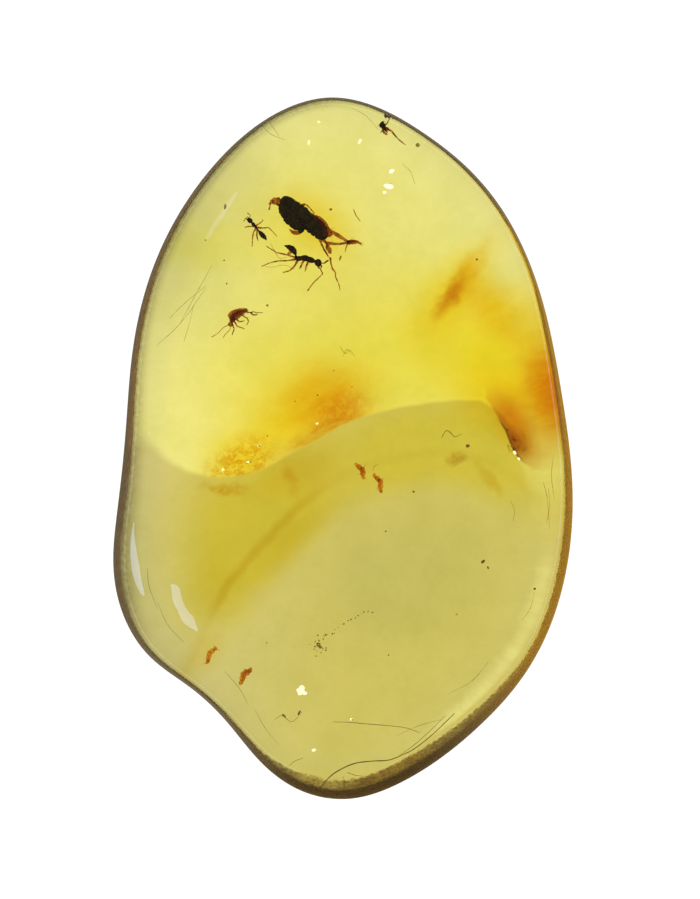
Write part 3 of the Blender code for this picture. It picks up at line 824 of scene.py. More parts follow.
def wing(bm, front, back, rise, ribs=4, thick=0.012):
    """A thin crumpled membrane between two edges, with veins; rise(x, y) is its height."""
    rows, columns = 22, 9
    edges = curved(front, rows), curved(back, rows)
    faces = []
    for lift in (-thick / 2, thick / 2):
        grid = []
        for a, b in zip(*edges):
            spots = [a + (b - a) * c / (columns - 1) for c in range(columns)]
            grid.append([bm.verts.new(Vector((x, y, rise(x, y) + lift)) * MM) for x, y in spots])
        faces.append(grid)
    low, high = faces
    for r in range(rows - 1):
        for c in range(columns - 1):
            bm.faces.new((high[r][c], high[r][c + 1], high[r + 1][c + 1], high[r + 1][c]))
            bm.faces.new((low[r][c], low[r + 1][c], low[r + 1][c + 1], low[r][c + 1]))
        for c in (0, columns - 1):
            bm.faces.new((low[r][c], low[r + 1][c], high[r + 1][c], high[r][c]))
    for r in (0, rows - 1):
        for c in range(columns - 1):
            bm.faces.new((low[r][c], low[r][c + 1], high[r][c + 1], high[r][c]))
    for rib in range(ribs):
        share = rib / (ribs - 1) * 0.96 + 0.02
        spots = [a + (b - a) * share for a, b in zip(*edges)][:: 3]
        radii = [0.016 - 0.008 * i / len(spots) for i in range(len(spots))]
        tube(bm, [(x, y, rise(x, y)) for x, y in spots], radii, 6, 3)


def set_down(name, bm, place, look, node=None):
    """The mesh as a piece at its place in the stone, in the node's stead if one is named."""
    bmesh.ops.recalc_face_normals(bm, faces=bm.faces)
    bmesh.ops.translate(bm, verts=bm.verts, vec=Vector(place) * MM)
    obj = new_object(name, mesh_of(name, bm), look)
    if node:
        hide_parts(node)
    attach(obj, "root")


# ---------------------------------------------------------------- the insects
# each in millimetres from its middle


def chitin(name, deep, light, clear=0.0, grain=6.0, shine=0.3):
    """Horny skin in blotches; clear is the share of it that only tints the light passing through."""
    look = Look(name)
    blotch = look.ramp(look.noise(grain * 0.35, 4.0), 0.35, 0.68)
    pits = look.ramp(look.cells(grain * 2.2), 0.0, 0.35)
    look.set(Base_Color=look.mix(blotch, deep, light), Specular_IOR_Level=shine)
    if clear:
        look.set(Transmission_Weight=clear, IOR=1.0, Roughness=0.0)
    else:
        look.set(Roughness=look.ramp(pits, 0.0, 1.0, 0.5, 0.25))
    return look.bumps(look.add(pits, look.noise(grain * 3)), 0.6, 0.03).material


BEETLE_AT = (-2.47, 14.72, FLOW_PLANE + 0.25)
ANT_AT = (-2.40, 12.12, FLOW_PLANE - 0.45)
SMALL_ANT_AT = (-5.46, 14.14, FLOW_PLANE + 0.05)
BARKLOUSE_AT = (-6.89, 8.48, FLOW_PLANE)
GNAT_AT = (2.26, 20.18, FLOW_PLANE + 0.1)


def striae(x, turn):
    """Rows of pits along a wing case."""
    rows = 0.5 + 0.5 * np.cos(13 * turn)
    worn = 0.045 * math.sin(9 * x + 1) * np.cos(2 * turn)
    worn = worn + 0.04 * np.sin(23 * x + 3 * turn) + 0.03 * np.cos(37 * x - 5 * turn)
    return 1 - 0.045 * (1 - rows) ** 3 * (0.65 + 0.35 * math.cos(58 * x)) + worn


def ringed(number, depth, lump):
    def form(x, turn):
        return grooves(np.array((x + 1) / 2), number, depth) * (1 + lump * np.sin(3 * turn + 6 * x))

    return form


def rippled(depth, along, around):
    return lambda x, turn: 1 + depth * np.sin(along * x + around * turn)


def beetle(dark, brown, membrane):
    draw = np.random.default_rng(11)
    bm = bmesh.new()
    blob(bm, (-0.84, 0.18, 0.05), (1.08, 0.50, 0.42), -51, 0, 44, 52, striae)
    blob(bm, (-0.18, 0.40, 0.06), (1.12, 0.47, 0.42), -42, 0, 44, 52, striae)
    blob(bm, (-0.62, 0.78, 0.34), (0.17, 0.12, 0.07), -46)  # scutellum
    blob(bm, (-1.02, 1.03, 0.02), (0.52, 0.40, 0.36), -26, 0, 30, 40,
         lambda x, t: 1 + 0.05 * np.cos(4 * t) - 0.10 * (abs(x) > 0.82) + 0.015 * np.sin(17 * x + 5 * t), 2.6)
    blob(bm, (0.66, -0.42, -0.04), (1.12, 0.58, 0.38), -45, 3, 50, 36, ringed(7, 0.16, 0.04))
    blob(bm, (1.05, -0.98, 0.0), (0.42, 0.34, 0.26), -30, 0, 16, 20, ringed(3, 0.12, 0.06))
    blob(bm, (-0.12, -0.62, 0.0), (0.32, 0.16, 0.14), 52, 0, 12, 16, None)  # torn wing-case tip
    hairs(bm, (-1.02, 1.03, 0.02), (0.50, 0.38, 0.35), 60, 0.05, draw, heading=-26)
    hairs(bm, (0.66, -0.42, -0.04), (1.05, 0.52, 0.34), 80, 0.05, draw, heading=-45)
    set_down("beetle_body", bm, BEETLE_AT, dark, "beetle")

    bm = bmesh.new()
    blob(bm, (-1.72, 1.15, -0.04), (0.33, 0.24, 0.20), -8, 0, 22, 28, rippled(0.03, 9, 6), 3.0)
    for side, turn in ((1, 18), (-1, -40)):
        blob(bm, (-1.64 + 0.02 * side, 1.14 + 0.20 * side, 0.05), (0.10, 0.08, 0.10), turn, 0, 12, 16)  # eyes
        feeler(bm, [(-1.90, 1.14 + 0.06 * side, 0), (-2.06, 1.10 + 0.05 * side, 0.03),
                    (-2.14, 0.98 + 0.10 * side, 0), (-2.20, 0.80 + 0.16 * side, -0.04)], 0.032, 9, 1.9)
        jaw = ((-1.98, 1.14, 0.09), (-2.10, 1.13, 0.09), (-2.15, 1.13, 0.02))
        tube(bm, [(x, y + out * side, -0.08) for x, y, out in jaw], (0.05, 0.04, 0.008), 7)
    tube(bm, [(-0.42, 0.60, 0.2), (-0.13, 0.92, 0.2), (0.08, 0.97, 0.16)], (0.05, 0.06, 0.05), 8)
    leg(bm, [(-0.30, 0.62, 0.1), (-0.10, 0.90, 0.16), (0.16, 0.93, 0.14), (0.40, 0.68, 0.1),
             (0.62, 0.40, 0.05)], 0.07, draw)
    leg(bm, [(1.20, -0.50, 0), (1.78, -0.80, 0.04), (2.80, -1.46, 0.06)], 0.15, draw, 14)
    leg(bm, [(2.74, -1.52, 0.05), (3.04, -1.42, 0.06), (3.26, -1.38, 0.05), (3.58, -1.56, 0)], 0.14, draw, 8)
    blob(bm, (3.06, -1.46, 0.05), (0.30, 0.15, 0.12), -6, 0, 16, 20, ringed(3, 0.2, 0.1))
    leg(bm, [(1.00, -1.10, -0.1), (1.42, -1.50, -0.1), (2.10, -1.60, -0.02), (2.78, -1.50, 0.05)],
        0.12, draw, 12)
    tube(bm, [(2.78, -1.50, 0.05), (2.66, -1.78, 0), (2.58, -2.10, -0.05)], (0.055, 0.045, 0.02), 7)
    leg(bm, [(0.88, -1.00, -0.1), (1.07, -1.50, -0.02), (1.28, -1.95, 0.05), (1.53, -2.42, 0.1)], 0.07, draw)
    # the middle leg with its drop of tissue, trailing to the lower right
    blob(bm, (1.56, -1.90, 0.16), (0.36, 0.16, 0.14), -68, 0, 18, 20, ringed(3, 0.1, 0.16))
    blob(bm, (1.36, -2.10, 0.10), (0.36, 0.06, 0.05), -60, 0, 12, 12)
    tube(bm, [(1.22, -1.16, 0), (1.40, -1.52, 0.1), (1.50, -1.76, 0.16)], (0.07, 0.06, 0.08), 8)
    tube(bm, [(1.66, -2.50, 0.2), (1.70, -2.84, 0.2), (1.78, -3.16, 0.2)], (0.075, 0.05, 0.04), 8)
    leg(bm, [(1.76, -3.16, 0.2), (1.98, -3.46, 0.15), (1.99, -3.74, 0.12), (2.18, -4.12, 0.08),
             (2.26, -4.52, 0.05)], 0.055, draw, 4)
    tube(bm, [(1.28, -2.85, 0.05), (1.42, -2.74, 0.05), (1.55, -2.66, 0.05)], (0.05, 0.055, 0.03), 7)
    set_down("beetle_limbs", bm, BEETLE_AT, brown)

    bm = bmesh.new()
    wing(bm, [(0.55, 0.30), (1.00, 0.18), (1.38, -0.14), (1.62, -0.56), (1.82, -0.98)],
         [(0.60, 0.10), (0.78, -0.40), (1.00, -0.75), (1.24, -1.05), (1.62, -1.16)],
         lambda x, y: 0.30 + 0.05 * math.sin(7 * x + 3 * y), 5)
    wing(bm, [(-0.95, -0.60), (-0.60, -0.72), (-0.25, -0.70), (0.0, -0.52)],
         [(-0.80, -0.86), (-0.55, -0.98), (-0.28, -0.95), (0.02, -0.76)],
         lambda x, y: 0.05 + 0.05 * math.sin(9 * x), 3)
    set_down("beetle_wing", bm, BEETLE_AT, membrane)


def ant_head(bm, middle, size, heading, draw):
    """Head with eyes and jaws, heading towards its jaws."""
    way = Matrix.Rotation(math.radians(heading), 3, "Z")

    def spot(x, y, z=0.0):
        return tuple(Vector(middle) + way @ Vector((x, y, z)) * size)

    blob(bm, middle, (0.27 * size, 0.22 * size, 0.20 * size), heading, 0, 26, 30,
         lambda x, t: 1.05 - 0.14 * x + 0.012 * np.sin(22 * x + 7 * t), 2.3)
    for side in (-1, 1):
        blob(bm, spot(0.04, 0.19 * side, 0.06), (0.065 * size, 0.045 * size, 0.06 * size), heading, 0, 10, 12)
        tube(bm, [spot(0.22, 0.10 * side), spot(0.34, 0.11 * side), spot(0.42, 0.02 * side)],
             (0.05 * size, 0.04 * size, 0.008), 7)
    hairs(bm, middle, (0.25 * size, 0.2 * size, 0.19 * size), 20, 0.05 * size, draw, 0.006, heading)


def ant(dark, brown):
    draw = np.random.default_rng(23)
    bm = bmesh.new()
    blob(bm, (0.36, -0.01, 0.0), (0.30, 0.20, 0.19), -22, 0, 22, 26, rippled(0.02, 16, 4))
    blob(bm, (0.00, 0.10, 0.02), (0.30, 0.21, 0.19), -4, 0, 22, 26, rippled(0.02, 18, -3))
    blob(bm, (-0.34, 0.08, 0.0), (0.27, 0.17, 0.17), 12, 0, 22, 26, lambda x, t: 1 - 0.12 * x)
    blob(bm, (-0.56, 0.16, 0.0), (0.12, 0.09, 0.10), 60, 0, 14, 18)  # petiole
    tube(bm, [(-0.48, 0.06, 0), (-0.56, 0.14, 0), (-0.59, 0.32, 0)], (0.06, 0.055, 0.055), 10)
    tube(bm, [(-0.585, 0.28), (-0.64, 0.45), (-0.76, 0.64), (-0.96, 0.79), (-1.16, 0.87), (-1.32, 0.92)],
         (0.05, 0.15, 0.215, 0.19, 0.10, 0.012), 24, 12, rings=5, depth=0.14)
    tube(bm, [(0.52, -0.08, 0), (0.68, -0.15, 0), (0.76, -0.18, 0)], (0.08, 0.065, 0.07), 10)
    ant_head(bm, (0.84, -0.21, 0), 0.96, -64, draw)
    hairs(bm, (-0.86, 0.70, 0), (0.30, 0.18, 0.18), 36, 0.05, draw, 0.006, -42)
    set_down("ant_body", bm, ANT_AT, dark, "ant")
    bm = bmesh.new()
    feeler(bm, [(0.90, -0.30, 0.03), (1.00, -0.62, 0.05), (1.14, -0.92, 0.05)], 0.035, 1)
    feeler(bm, [(1.14, -0.92, 0.05), (0.86, -1.20, 0), (0.55, -1.50, -0.05), (0.18, -2.00, -0.1)],
           0.036, 11, 1.25)
    feeler(bm, [(0.92, -0.16, 0), (1.16, -0.24, -0.05), (1.46, -0.08, -0.1)], 0.03, 6, 1.2)
    for points, thick in (
        ([(0.20, -0.04, 0.05), (0.14, -0.26, 0.04), (0.06, -0.50, 0), (0.02, -0.70, -0.1)], 0.075),
        ([(-0.06, 0.0, -0.05), (-0.22, -0.34, -0.1), (-0.32, -0.54, -0.12)], 0.07),
        ([(-0.44, 0.02, 0.02), (-0.66, -0.44, 0), (-0.96, -0.70, -0.05), (-1.32, -0.80, -0.1)], 0.07),
        ([(-0.36, 0.06, 0.1), (-1.10, -0.06, 0.1), (-1.66, -0.06, 0.05), (-2.20, -0.18, 0), (-2.72, -0.40, 0)],
         0.062),
        ([(-0.36, 0.06, -0.1), (-1.16, 0.32, -0.15), (-1.80, 0.48, -0.15), (-2.40, 0.84, -0.1)], 0.06),
    ):
        leg(bm, points, thick, draw, 5)
    blob(bm, (-0.98, 0.42, 0.0), (0.14, 0.11, 0.11), 20, 0, 14, 18)  # a droplet at its side
    set_down("ant_limbs", bm, ANT_AT, brown)


def small_ant(dark, brown):
    draw = np.random.default_rng(31)
    bm = bmesh.new()
    ant_head(bm, (-0.43, 0.51, 0), 0.68, 138, draw)
    blob(bm, (-0.21, 0.27, 0), (0.17, 0.11, 0.10), -50, 0, 16, 20)
    blob(bm, (-0.07, 0.10, 0), (0.15, 0.095, 0.09), -52, 0, 16, 20)
    blob(bm, (0.07, -0.07, 0), (0.06, 0.05, 0.06), -60, 0, 10, 14)
    tube(bm, [(-0.02, 0.04, 0), (0.06, -0.06, 0), (0.13, -0.17, 0)], (0.045, 0.04, 0.04), 8)
    tube(bm, [(0.11, -0.14, 0), (0.22, -0.27, 0), (0.36, -0.43, 0), (0.50, -0.58, 0), (0.62, -0.76, 0)],
         (0.04, 0.125, 0.165, 0.125, 0.012), 20, 12, rings=5, depth=0.14)
    hairs(bm, (0.36, -0.43, 0), (0.22, 0.14, 0.14), 24, 0.04, draw, 0.005, -49)
    set_down("small_ant_body", bm, SMALL_ANT_AT, dark, "small_ant")
    bm = bmesh.new()
    feeler(bm, [(-0.54, 0.58, 0), (-0.68, 0.64, 0.02), (-0.80, 0.44, 0)], 0.024, 9, 1.3)
    feeler(bm, [(-0.46, 0.64, 0), (-0.40, 0.84, 0.02), (-0.56, 0.98, 0)], 0.024, 9, 1.3)
    for points in (
        [(-0.14, 0.14, 0), (-0.42, 0.13, -0.05), (-0.72, 0.08, -0.1)],
        [(-0.06, 0.18, 0), (0.14, 0.28, 0.05), (0.30, 0.42, 0.02), (0.38, 0.54, 0)],
        [(-0.04, 0.02, 0), (-0.22, -0.30, 0.05), (-0.28, -0.76, 0), (-0.30, -1.12, -0.05)],
        [(0.0, 0.06, 0.02), (0.40, 0.02, 0.08), (0.74, 0.06, 0.08), (1.0, -0.18, 0.05), (1.24, -0.46, 0)],
        [(0.04, 0.0, -0.02), (0.0, -0.42, -0.1), (0.06, -0.72, -0.15)],
    ):
        leg(bm, points, 0.052, draw, 3)
    set_down("small_ant_limbs", bm, SMALL_ANT_AT, brown)


def barklouse(dark, brown, membrane):
    draw = np.random.default_rng(47)
    bm = bmesh.new()
    tube(bm, [(-0.16, -0.24, 0), (0.10, -0.02, 0), (0.38, 0.18, 0), (0.66, 0.31, 0), (0.90, 0.40, 0)],
         (0.10, 0.20, 0.19, 0.12, 0.02), 20, 10, rings=7, depth=0.12)
    blob(bm, (-0.12, -0.20, 0.06), (0.20, 0.19, 0.16), 50, 0, 18, 22,
         lambda x, t: 1 + 0.08 * np.cos(2 * t) * (1 - x * x))
    blob(bm, (-0.23, -0.48, -0.02), (0.17, 0.16, 0.15), 70, 0, 18, 22)
    for x, y in ((-0.36, -0.50), (-0.12, -0.56)):
        blob(bm, (x, y, 0.05), (0.065, 0.06, 0.065), 0, 0, 10, 14)
    hairs(bm, (0.34, 0.14, 0), (0.50, 0.17, 0.16), 60, 0.05, draw, 0.006, 32)
    set_down("barklouse_body", bm, BARKLOUSE_AT, brown, "barklouse")
    bm = bmesh.new()
    feeler(bm, [(-0.30, -0.56), (-0.54, -0.60), (-0.80, -0.80), (-1.02, -1.04), (-1.44, -1.32)], 0.022, 13)
    feeler(bm, [(-0.22, -0.62, 0), (-0.30, -0.86, 0.02), (-0.56, -1.12, 0), (-0.70, -1.36, 0)], 0.022, 13)
    for points in (
        [(0.70, 0.32, 0), (1.0, 0.24, 0), (1.24, 0.30, 0), (1.44, 0.24, 0), (1.76, 0.24, 0)],
        [(1.02, 0.26, 0), (1.20, 0.10, 0), (1.44, 0.12, 0)],
        [(0.10, -0.14, 0), (0.34, -0.34, 0), (0.60, -0.28, 0)],
        [(0.44, 0.12, -0.05), (0.84, -0.14, -0.05), (0.90, -0.34, -0.08), (0.80, -0.50, -0.1)],
        [(0.0, -0.30, 0), (0.20, -0.62, -0.05), (0.60, -0.76, -0.1)],
        [(-0.14, -0.44, 0), (0.0, -0.80, -0.05), (-0.12, -1.14, -0.1)],
    ):
        leg(bm, points, 0.045, draw, 5)
    set_down("barklouse_limbs", bm, BARKLOUSE_AT, brown)
    bm = bmesh.new()
    wing(bm, [(-0.42, 0.04), (-0.26, 0.30), (0.08, 0.46), (0.50, 0.52), (0.84, 0.50)],
         [(-0.28, -0.16), (-0.02, 0.04), (0.26, 0.20), (0.56, 0.34), (0.84, 0.44)],
         lambda x, y: 0.16 + 0.03 * math.sin(14 * x) + 0.1 * (0.3 - abs(y - 0.2)), 5)
    wing(bm, [(-0.30, -0.02), (-0.06, 0.20), (0.26, 0.34), (0.62, 0.42)],
         [(-0.20, -0.16), (0.06, -0.06), (0.36, 0.06), (0.66, 0.30)],
         lambda x, y: 0.22 + 0.02 * math.sin(18 * x), 4)
    hairs(bm, (0.16, 0.20, 0.16), (0.62, 0.20, 0.05), 120, 0.06, draw, 0.006, 34)
    set_down("barklouse_wings", bm, BARKLOUSE_AT, membrane)


def gnat(dark, brown, membrane):
    draw = np.random.default_rng(59)
    bm = bmesh.new()
    blob(bm, (-0.10, 0.065, 0), (0.135, 0.095, 0.09), -28, 0, 20, 24, rippled(0.02, 12, 5))
    blob(bm, (0.045, -0.035, 0.01), (0.105, 0.10, 0.09), -40, 0, 18, 22)
    blob(bm, (0.10, -0.10, 0.01), (0.07, 0.07, 0.07), -40, 0, 14, 18)
    tube(bm, [(0.08, -0.09), (0.18, -0.18), (0.33, -0.30)], (0.055, 0.04, 0.012), 14, 16, rings=7, depth=0.16)
    hairs(bm, (-0.02, 0.01, 0), (0.14, 0.09, 0.09), 40, 0.025, draw, 0.003, -34)
    set_down("gnat_body", bm, GNAT_AT, dark, "gnat")
    bm = bmesh.new()
    for points in (
        [(0.06, -0.06, 0), (-0.02, -0.14, 0), (-0.06, -0.20, 0)],
        [(0.07, -0.04, 0), (0.12, 0.02, 0), (0.18, 0.05, 0)],
        [(0.12, -0.08, 0), (0.20, -0.12, 0), (0.28, -0.13, 0)],
        [(0.14, -0.12, 0), (0.50, -0.24, 0.05), (0.98, -0.66, 0.05), (1.42, -0.99, 0)],
    ):
        leg(bm, points, 0.03 if len(points) < 4 else 0.04, draw, 4)
    feeler(bm, [(-0.20, 0.10, 0), (-0.27, 0.09, 0.02), (-0.31, 0.05, 0.02)], 0.012, 8)
    set_down("gnat_limbs", bm, GNAT_AT, brown)
    bm = bmesh.new()
    wing(bm, [(0.02, -0.12), (0.10, -0.18), (0.22, -0.27), (0.34, -0.36)],
         [(0.0, -0.17), (0.08, -0.26), (0.20, -0.34), (0.32, -0.39)], lambda x, y: 0.05, 3, 0.008)
    wing(bm, [(0.10, -0.05), (0.20, -0.07), (0.32, -0.13), (0.46, -0.24)],
         [(0.12, -0.10), (0.22, -0.14), (0.32, -0.19), (0.44, -0.26)], lambda x, y: 0.03, 3, 0.008)
    set_down("gnat_wings", bm, GNAT_AT, membrane)


FLECKS = {  # place, length, width, heading
    "bark_fleck_1": ((1.14, -1.40, FLOW_PLANE), 0.95, 0.34, -60),
    "bark_fleck_2": ((2.28, -2.17, FLOW_PLANE), 1.05, 0.34, -68),
    "bark_fleck_3": ((-8.40, -13.10, FLOW_PLANE), 0.85, 0.34, 62),
    "bark_fleck_4": ((-6.20, -14.50, FLOW_PLANE), 0.95, 0.42, 55),
}


def lumpy(draw, pace, number, depth):
    """A section for a blob, made uneven by waves drawn at random."""
    waves = draw.uniform(*pace, size=(number, 2)), draw.uniform(0, 6, size=number)

    def form(x, turn):
        return 1 + sum(depth * np.sin(a * x * 2 + round(b) * turn + c) for (a, b), c in zip(*waves))

    return form


def fleck(name, look):
    """A flake of bark, lumpy and frayed at its ends."""
    place, length, width, heading = FLECKS[name]
    draw = np.random.default_rng(100 + int(name[-1]))
    lumps = lumpy(draw, (2, 9), 5, 0.07)
    bm = bmesh.new()
    way = Matrix.Rotation(math.radians(heading), 3, "Z")
    bend = 0.1 * length
    spine = [way @ Vector((length * s / 2, bend * math.cos(3 * s), 0)) for s in (-1, -0.5, 0, 0.5, 1)]
    for spot, share in zip(spine, (0.62, 0.86, 0.94, 0.98, 0.66)):
        half = (length * 0.2, width * 0.5 * share, width * 0.42 * share)
        blob(bm, tuple(spot * 0.9), half, heading, 0, 22, 26, lumps)
    for _ in range(14):
        root = spine[draw.integers(0, 5)] * 0.9
        tip = root + way @ Vector((draw.normal() * 0.14, draw.normal() * 0.16, draw.normal() * 0.06))
        spots = (root, (root + tip) / 2 + Vector((0.01, 0, 0.02)), tip)
        tube(bm, [tuple(spot) for spot in spots], (0.03, 0.02, 0.006), 5, 3)
    set_down(name + "_bark", bm, place, look, name)


def inclusions():
    dark = chitin("chitin_black_glossy", (0.003, 0.003, 0.001), (0.026, 0.018, 0.003))
    umber = chitin("chitin_umber", (0.010, 0.004, 0.001), (0.050, 0.016, 0.003))
    limb = chitin("chitin_amber_brown", (0.20, 0.055, 0.010), (0.62, 0.30, 0.08), 0.92)
    membrane = chitin("wing_membrane", (0.30, 0.08, 0.015), (0.62, 0.28, 0.08), 0.92, 3.0)
    bark = chitin("bark_russet", (0.70, 0.26, 0.02), (0.96, 0.58, 0.08), 0.9, 4.0)
    beetle(dark, limb, membrane)
    ant(umber, limb)
    small_ant(umber, limb)
    barklouse(umber, limb, membrane)
    gnat(dark, limb, membrane)
    for name in FLECKS:
        fleck(name, bark)


# ---------------------------------------------------------------- dust, threads, bubbles and painted glints
# placed by the photograph's pixels


SPECKS = {  # centre, half length and half width in millimetres, heading
    "beside_left_wing": ((227, 210), 0.22, 0.09, 80),
    "over_beetle": ((331, 213), 0.11, 0.09, 0),
    "left_of_small_ant": ((207.5, 243), 0.06, 0.05, 0),
    "under_small_ant": ((226, 263), 0.07, 0.05, 20),
    "left_field": ((228.5, 286), 0.07, 0.05, 60),
    "by_barklouse": ((268.6, 307.6), 0.10, 0.08, 30),
    "black_by_gnat": ((416.5, 149), 0.18, 0.15, 40),
    "smear_tip": ((475, 262), 0.10, 0.08, 50),
    "flow_edge": ((466, 446), 0.16, 0.12, 10),
    "under_twins": ((412.5, 491), 0.09, 0.07, 0),
    "mid_field": ((385, 530), 0.07, 0.06, 0),
    "grey_lump": ((481, 560), 0.18, 0.10, 40),
    "grey_lump_tail": ((486, 566), 0.12, 0.07, -60),
    "right_field": ((532, 587), 0.10, 0.08, 0),
    "right_edge": ((556, 573), 0.09, 0.07, 0),
    "v_left": ((285, 712), 0.20, 0.07, -40),
    "v_right": ((300, 709), 0.22, 0.07, 62),
    "beside_beetle_leg": ((340.4, 261), 0.22, 0.06, 72),
    "cloud_1": ((334, 372), 0.05, 0.04, 0),
    "cloud_2": ((352, 388), 0.05, 0.04, 0),
    "cloud_3": ((318, 396), 0.06, 0.05, 0),
    "cloud_4": ((296, 402), 0.05, 0.04, 0),
    "crack_1": ((512, 448), 0.12, 0.06, -58),
    "crack_2": ((505, 430), 0.10, 0.05, -58),
    "low_1": ((352, 716), 0.06, 0.05, 0),
    "low_2": ((388, 652), 0.05, 0.05, 0),
    "low_3": ((455, 612), 0.05, 0.05, 0),
    "low_4": ((268, 640), 0.05, 0.05, 0),
}
THREADS = {  # points, thickness in millimetres
    "dash_right_of_beetle": (((353.5, 213), (356, 219), (360, 224.5)), 0.035),
    "long_hair_low": (((345, 798), (333, 797), (324, 792), (322, 784), (329, 773.5), (341, 765), (355.5, 759),
                       (372, 757), (388, 756), (401, 751), (413, 745), (431, 731), (453, 710)), 0.04),
    "low_hair_left": (((333, 718), (350, 718.5), (366, 720), (402, 723.5), (419, 729)), 0.022),
    "low_hair_short": (((347, 768), (355.5, 771), (368, 772.5)), 0.022),
    "low_hair_right": (((398, 752), (412, 742), (428, 728), (444, 712)), 0.018),
    "low_edge_1": (((343, 772), (345, 780), (343, 788)), 0.018),
    "low_edge_2": (((290, 762), (296, 757), (304, 754)), 0.016),
    "squiggle_1": (((340, 348), (345, 355), (350, 352), (355, 358)), 0.015),
    "squiggle_2": (((343, 358), (347, 351), (352, 356)), 0.013),
    "mark_1": (((440, 438), (445, 431), (452, 436)), 0.022),
    "mark_2": (((448, 431), (453, 437), (460, 434)), 0.018),
    "by_ant_1": (((271.5, 246), (275.8, 254), (280.5, 261), (288, 260)), 0.013),
    "by_ant_2": (((264, 268), (272, 270), (285, 268), (296, 272)), 0.012),
    "by_beetle": (((324.8, 265.8), (326.6, 263.8), (328.9, 262.9)), 0.022),
    "v_mark": (((276, 716), (283, 712), (293, 718), (303, 708)), 0.016),
    "left_low_1": (((150, 566), (152, 585), (160, 606)), 0.014),
    "left_low_2": (((226, 668), (240, 684), (249, 700)), 0.013),
    "top_left_1": (((262, 128), (272, 138), (286, 144)), 0.013),
    "top_left_2": (((268, 122), (276, 134), (280, 140)), 0.012),
    "right_mid": (((508, 500), (512, 509), (511, 520)), 0.012),
    "twin_side": (((372, 470), (374, 466), (377, 464)), 0.014),
}
SCRATCHES = {  # points, thickness in millimetres
    "left_1": (((160, 346), (176, 332), (190, 316), (208, 290)), 0.022),
    "left_2": (((182, 326), (196, 300), (214, 268)), 0.020),
    "left_3": (((172, 320), (186, 306), (208, 288)), 0.018),
    "left_4": (((186, 344), (192, 324), (196, 306)), 0.018),
    "left_5": (((150, 300), (160, 276), (170, 258)), 0.018),
    "right_1": (((541, 482), (545, 500), (547, 528)), 0.022),
    "right_2": (((546, 488), (547, 505), (544, 522)), 0.018),
    "right_3": (((524, 262), (531, 282), (538, 306)), 0.018),
    "right_4": (((551, 455), (549, 476), (552, 500)), 0.020),
    "right_5": (((520, 618), (528, 606), (532, 590)), 0.018),
    "top_1": (((352, 112), (366, 120), (378, 134)), 0.018),
    "top_2": (((402, 168), (410, 176), (414, 188)), 0.018),
    "low_1": (((396, 732), (418, 722), (440, 716)), 0.018),
    "low_2": (((256, 706), (266, 724), (280, 742)), 0.018),
    "low_3": (((448, 690), (470, 678), (486, 660)), 0.018),
    "low_4": (((160, 600), (170, 622), (186, 640)), 0.018),
}
CHAIN = ((317, 648), (324, 636), (332, 631), (345, 622), (358, 613), (372, 608))  # a row of droppings
CLOT = (320, 641)  # at its lower end
BUBBLES = {  # centre, radius in millimetres, height above the flow plane
    "low_left": ((302, 687), 0.24, 2.2),
    "lower": ((315, 746), 0.10, 1.6),
    "low_middle": ((351, 716), 0.07, 1.6),
    "crown_1": ((391, 175), 0.14, 2.4),
    "crown_2": ((389, 190), 0.20, 2.4),
    "top_1": ((310, 147), 0.08, 1.6),
    "top_2": ((359, 146), 0.09, 1.6),
    "cloud_1": ((262, 446), 0.08, 0.6),
    "cloud_2": ((253, 462), 0.07, 0.5),
    "cloud_3": ((270, 436), 0.06, 0.6),
    "crack": ((511, 451), 0.06, 1.0),
}
# painted highlights: flecks that glow where specks of trapped air would shine
PAINTED_GLINTS = {  # centre, half length and half width in millimetres, heading, height above the flow plane
    "low_left": ((302, 687), 0.34, 0.22, 70, 2.6),
    "low_left_tail": ((306, 690), 0.14, 0.10, 20, 2.6),
    "lower": ((315, 746), 0.14, 0.09, 10, 2.0),
    "low_middle": ((351, 716), 0.10, 0.08, 40, 2.0),
    "crown_1": ((391, 175), 0.18, 0.12, 30, 3.4),
    "crown_2": ((388, 190), 0.32, 0.16, -10, 3.4),
    "crown_3": ((384, 196), 0.12, 0.08, 0, 3.4),
    "top_1": ((310, 147), 0.16, 0.07, 75, 1.8),
    "top_2": ((359, 146), 0.16, 0.09, 60, 1.8),
    "top_3": ((320, 129), 0.09, 0.06, 0, 1.4),
    "cloud_1": ((262, 446), 0.12, 0.08, 30, 0.2),
    "cloud_2": ((251, 462), 0.12, 0.07, 10, 0.2),
    "cloud_3": ((226, 470), 0.10, 0.07, 60, 0.2),
    "cloud_4": ((318, 424), 0.09, 0.06, 40, 0.2),
    "crack_1": ((511, 453), 0.14, 0.09, -50, 1.4),
    "crack_2": ((515, 459), 0.10, 0.07, -50, 1.4),
}


def lump(bm, centre, half_length, half_width, heading, draw):
    uneven = lumpy(draw, (1, 6), 4, 0.11)
    half = (half_length, half_width, half_width * 0.8)
    blob(bm, centre, half, heading, draw.uniform(-15, 15), 14, 16, uneven)


def over(spots, tree, sunk):
    """The places just under the polish, sunk millimetres down, over spots in the plan."""
    places = []
    for x, y in spots:
        hit = tree.ray_cast(Vector((x, y, 2 * THICKNESS)) * MM, Vector((0, 0, -1)))[0]
        places.append((x, y, (hit.z / MM if hit else FLOW_PLANE) - sunk))
    return np.array(places)


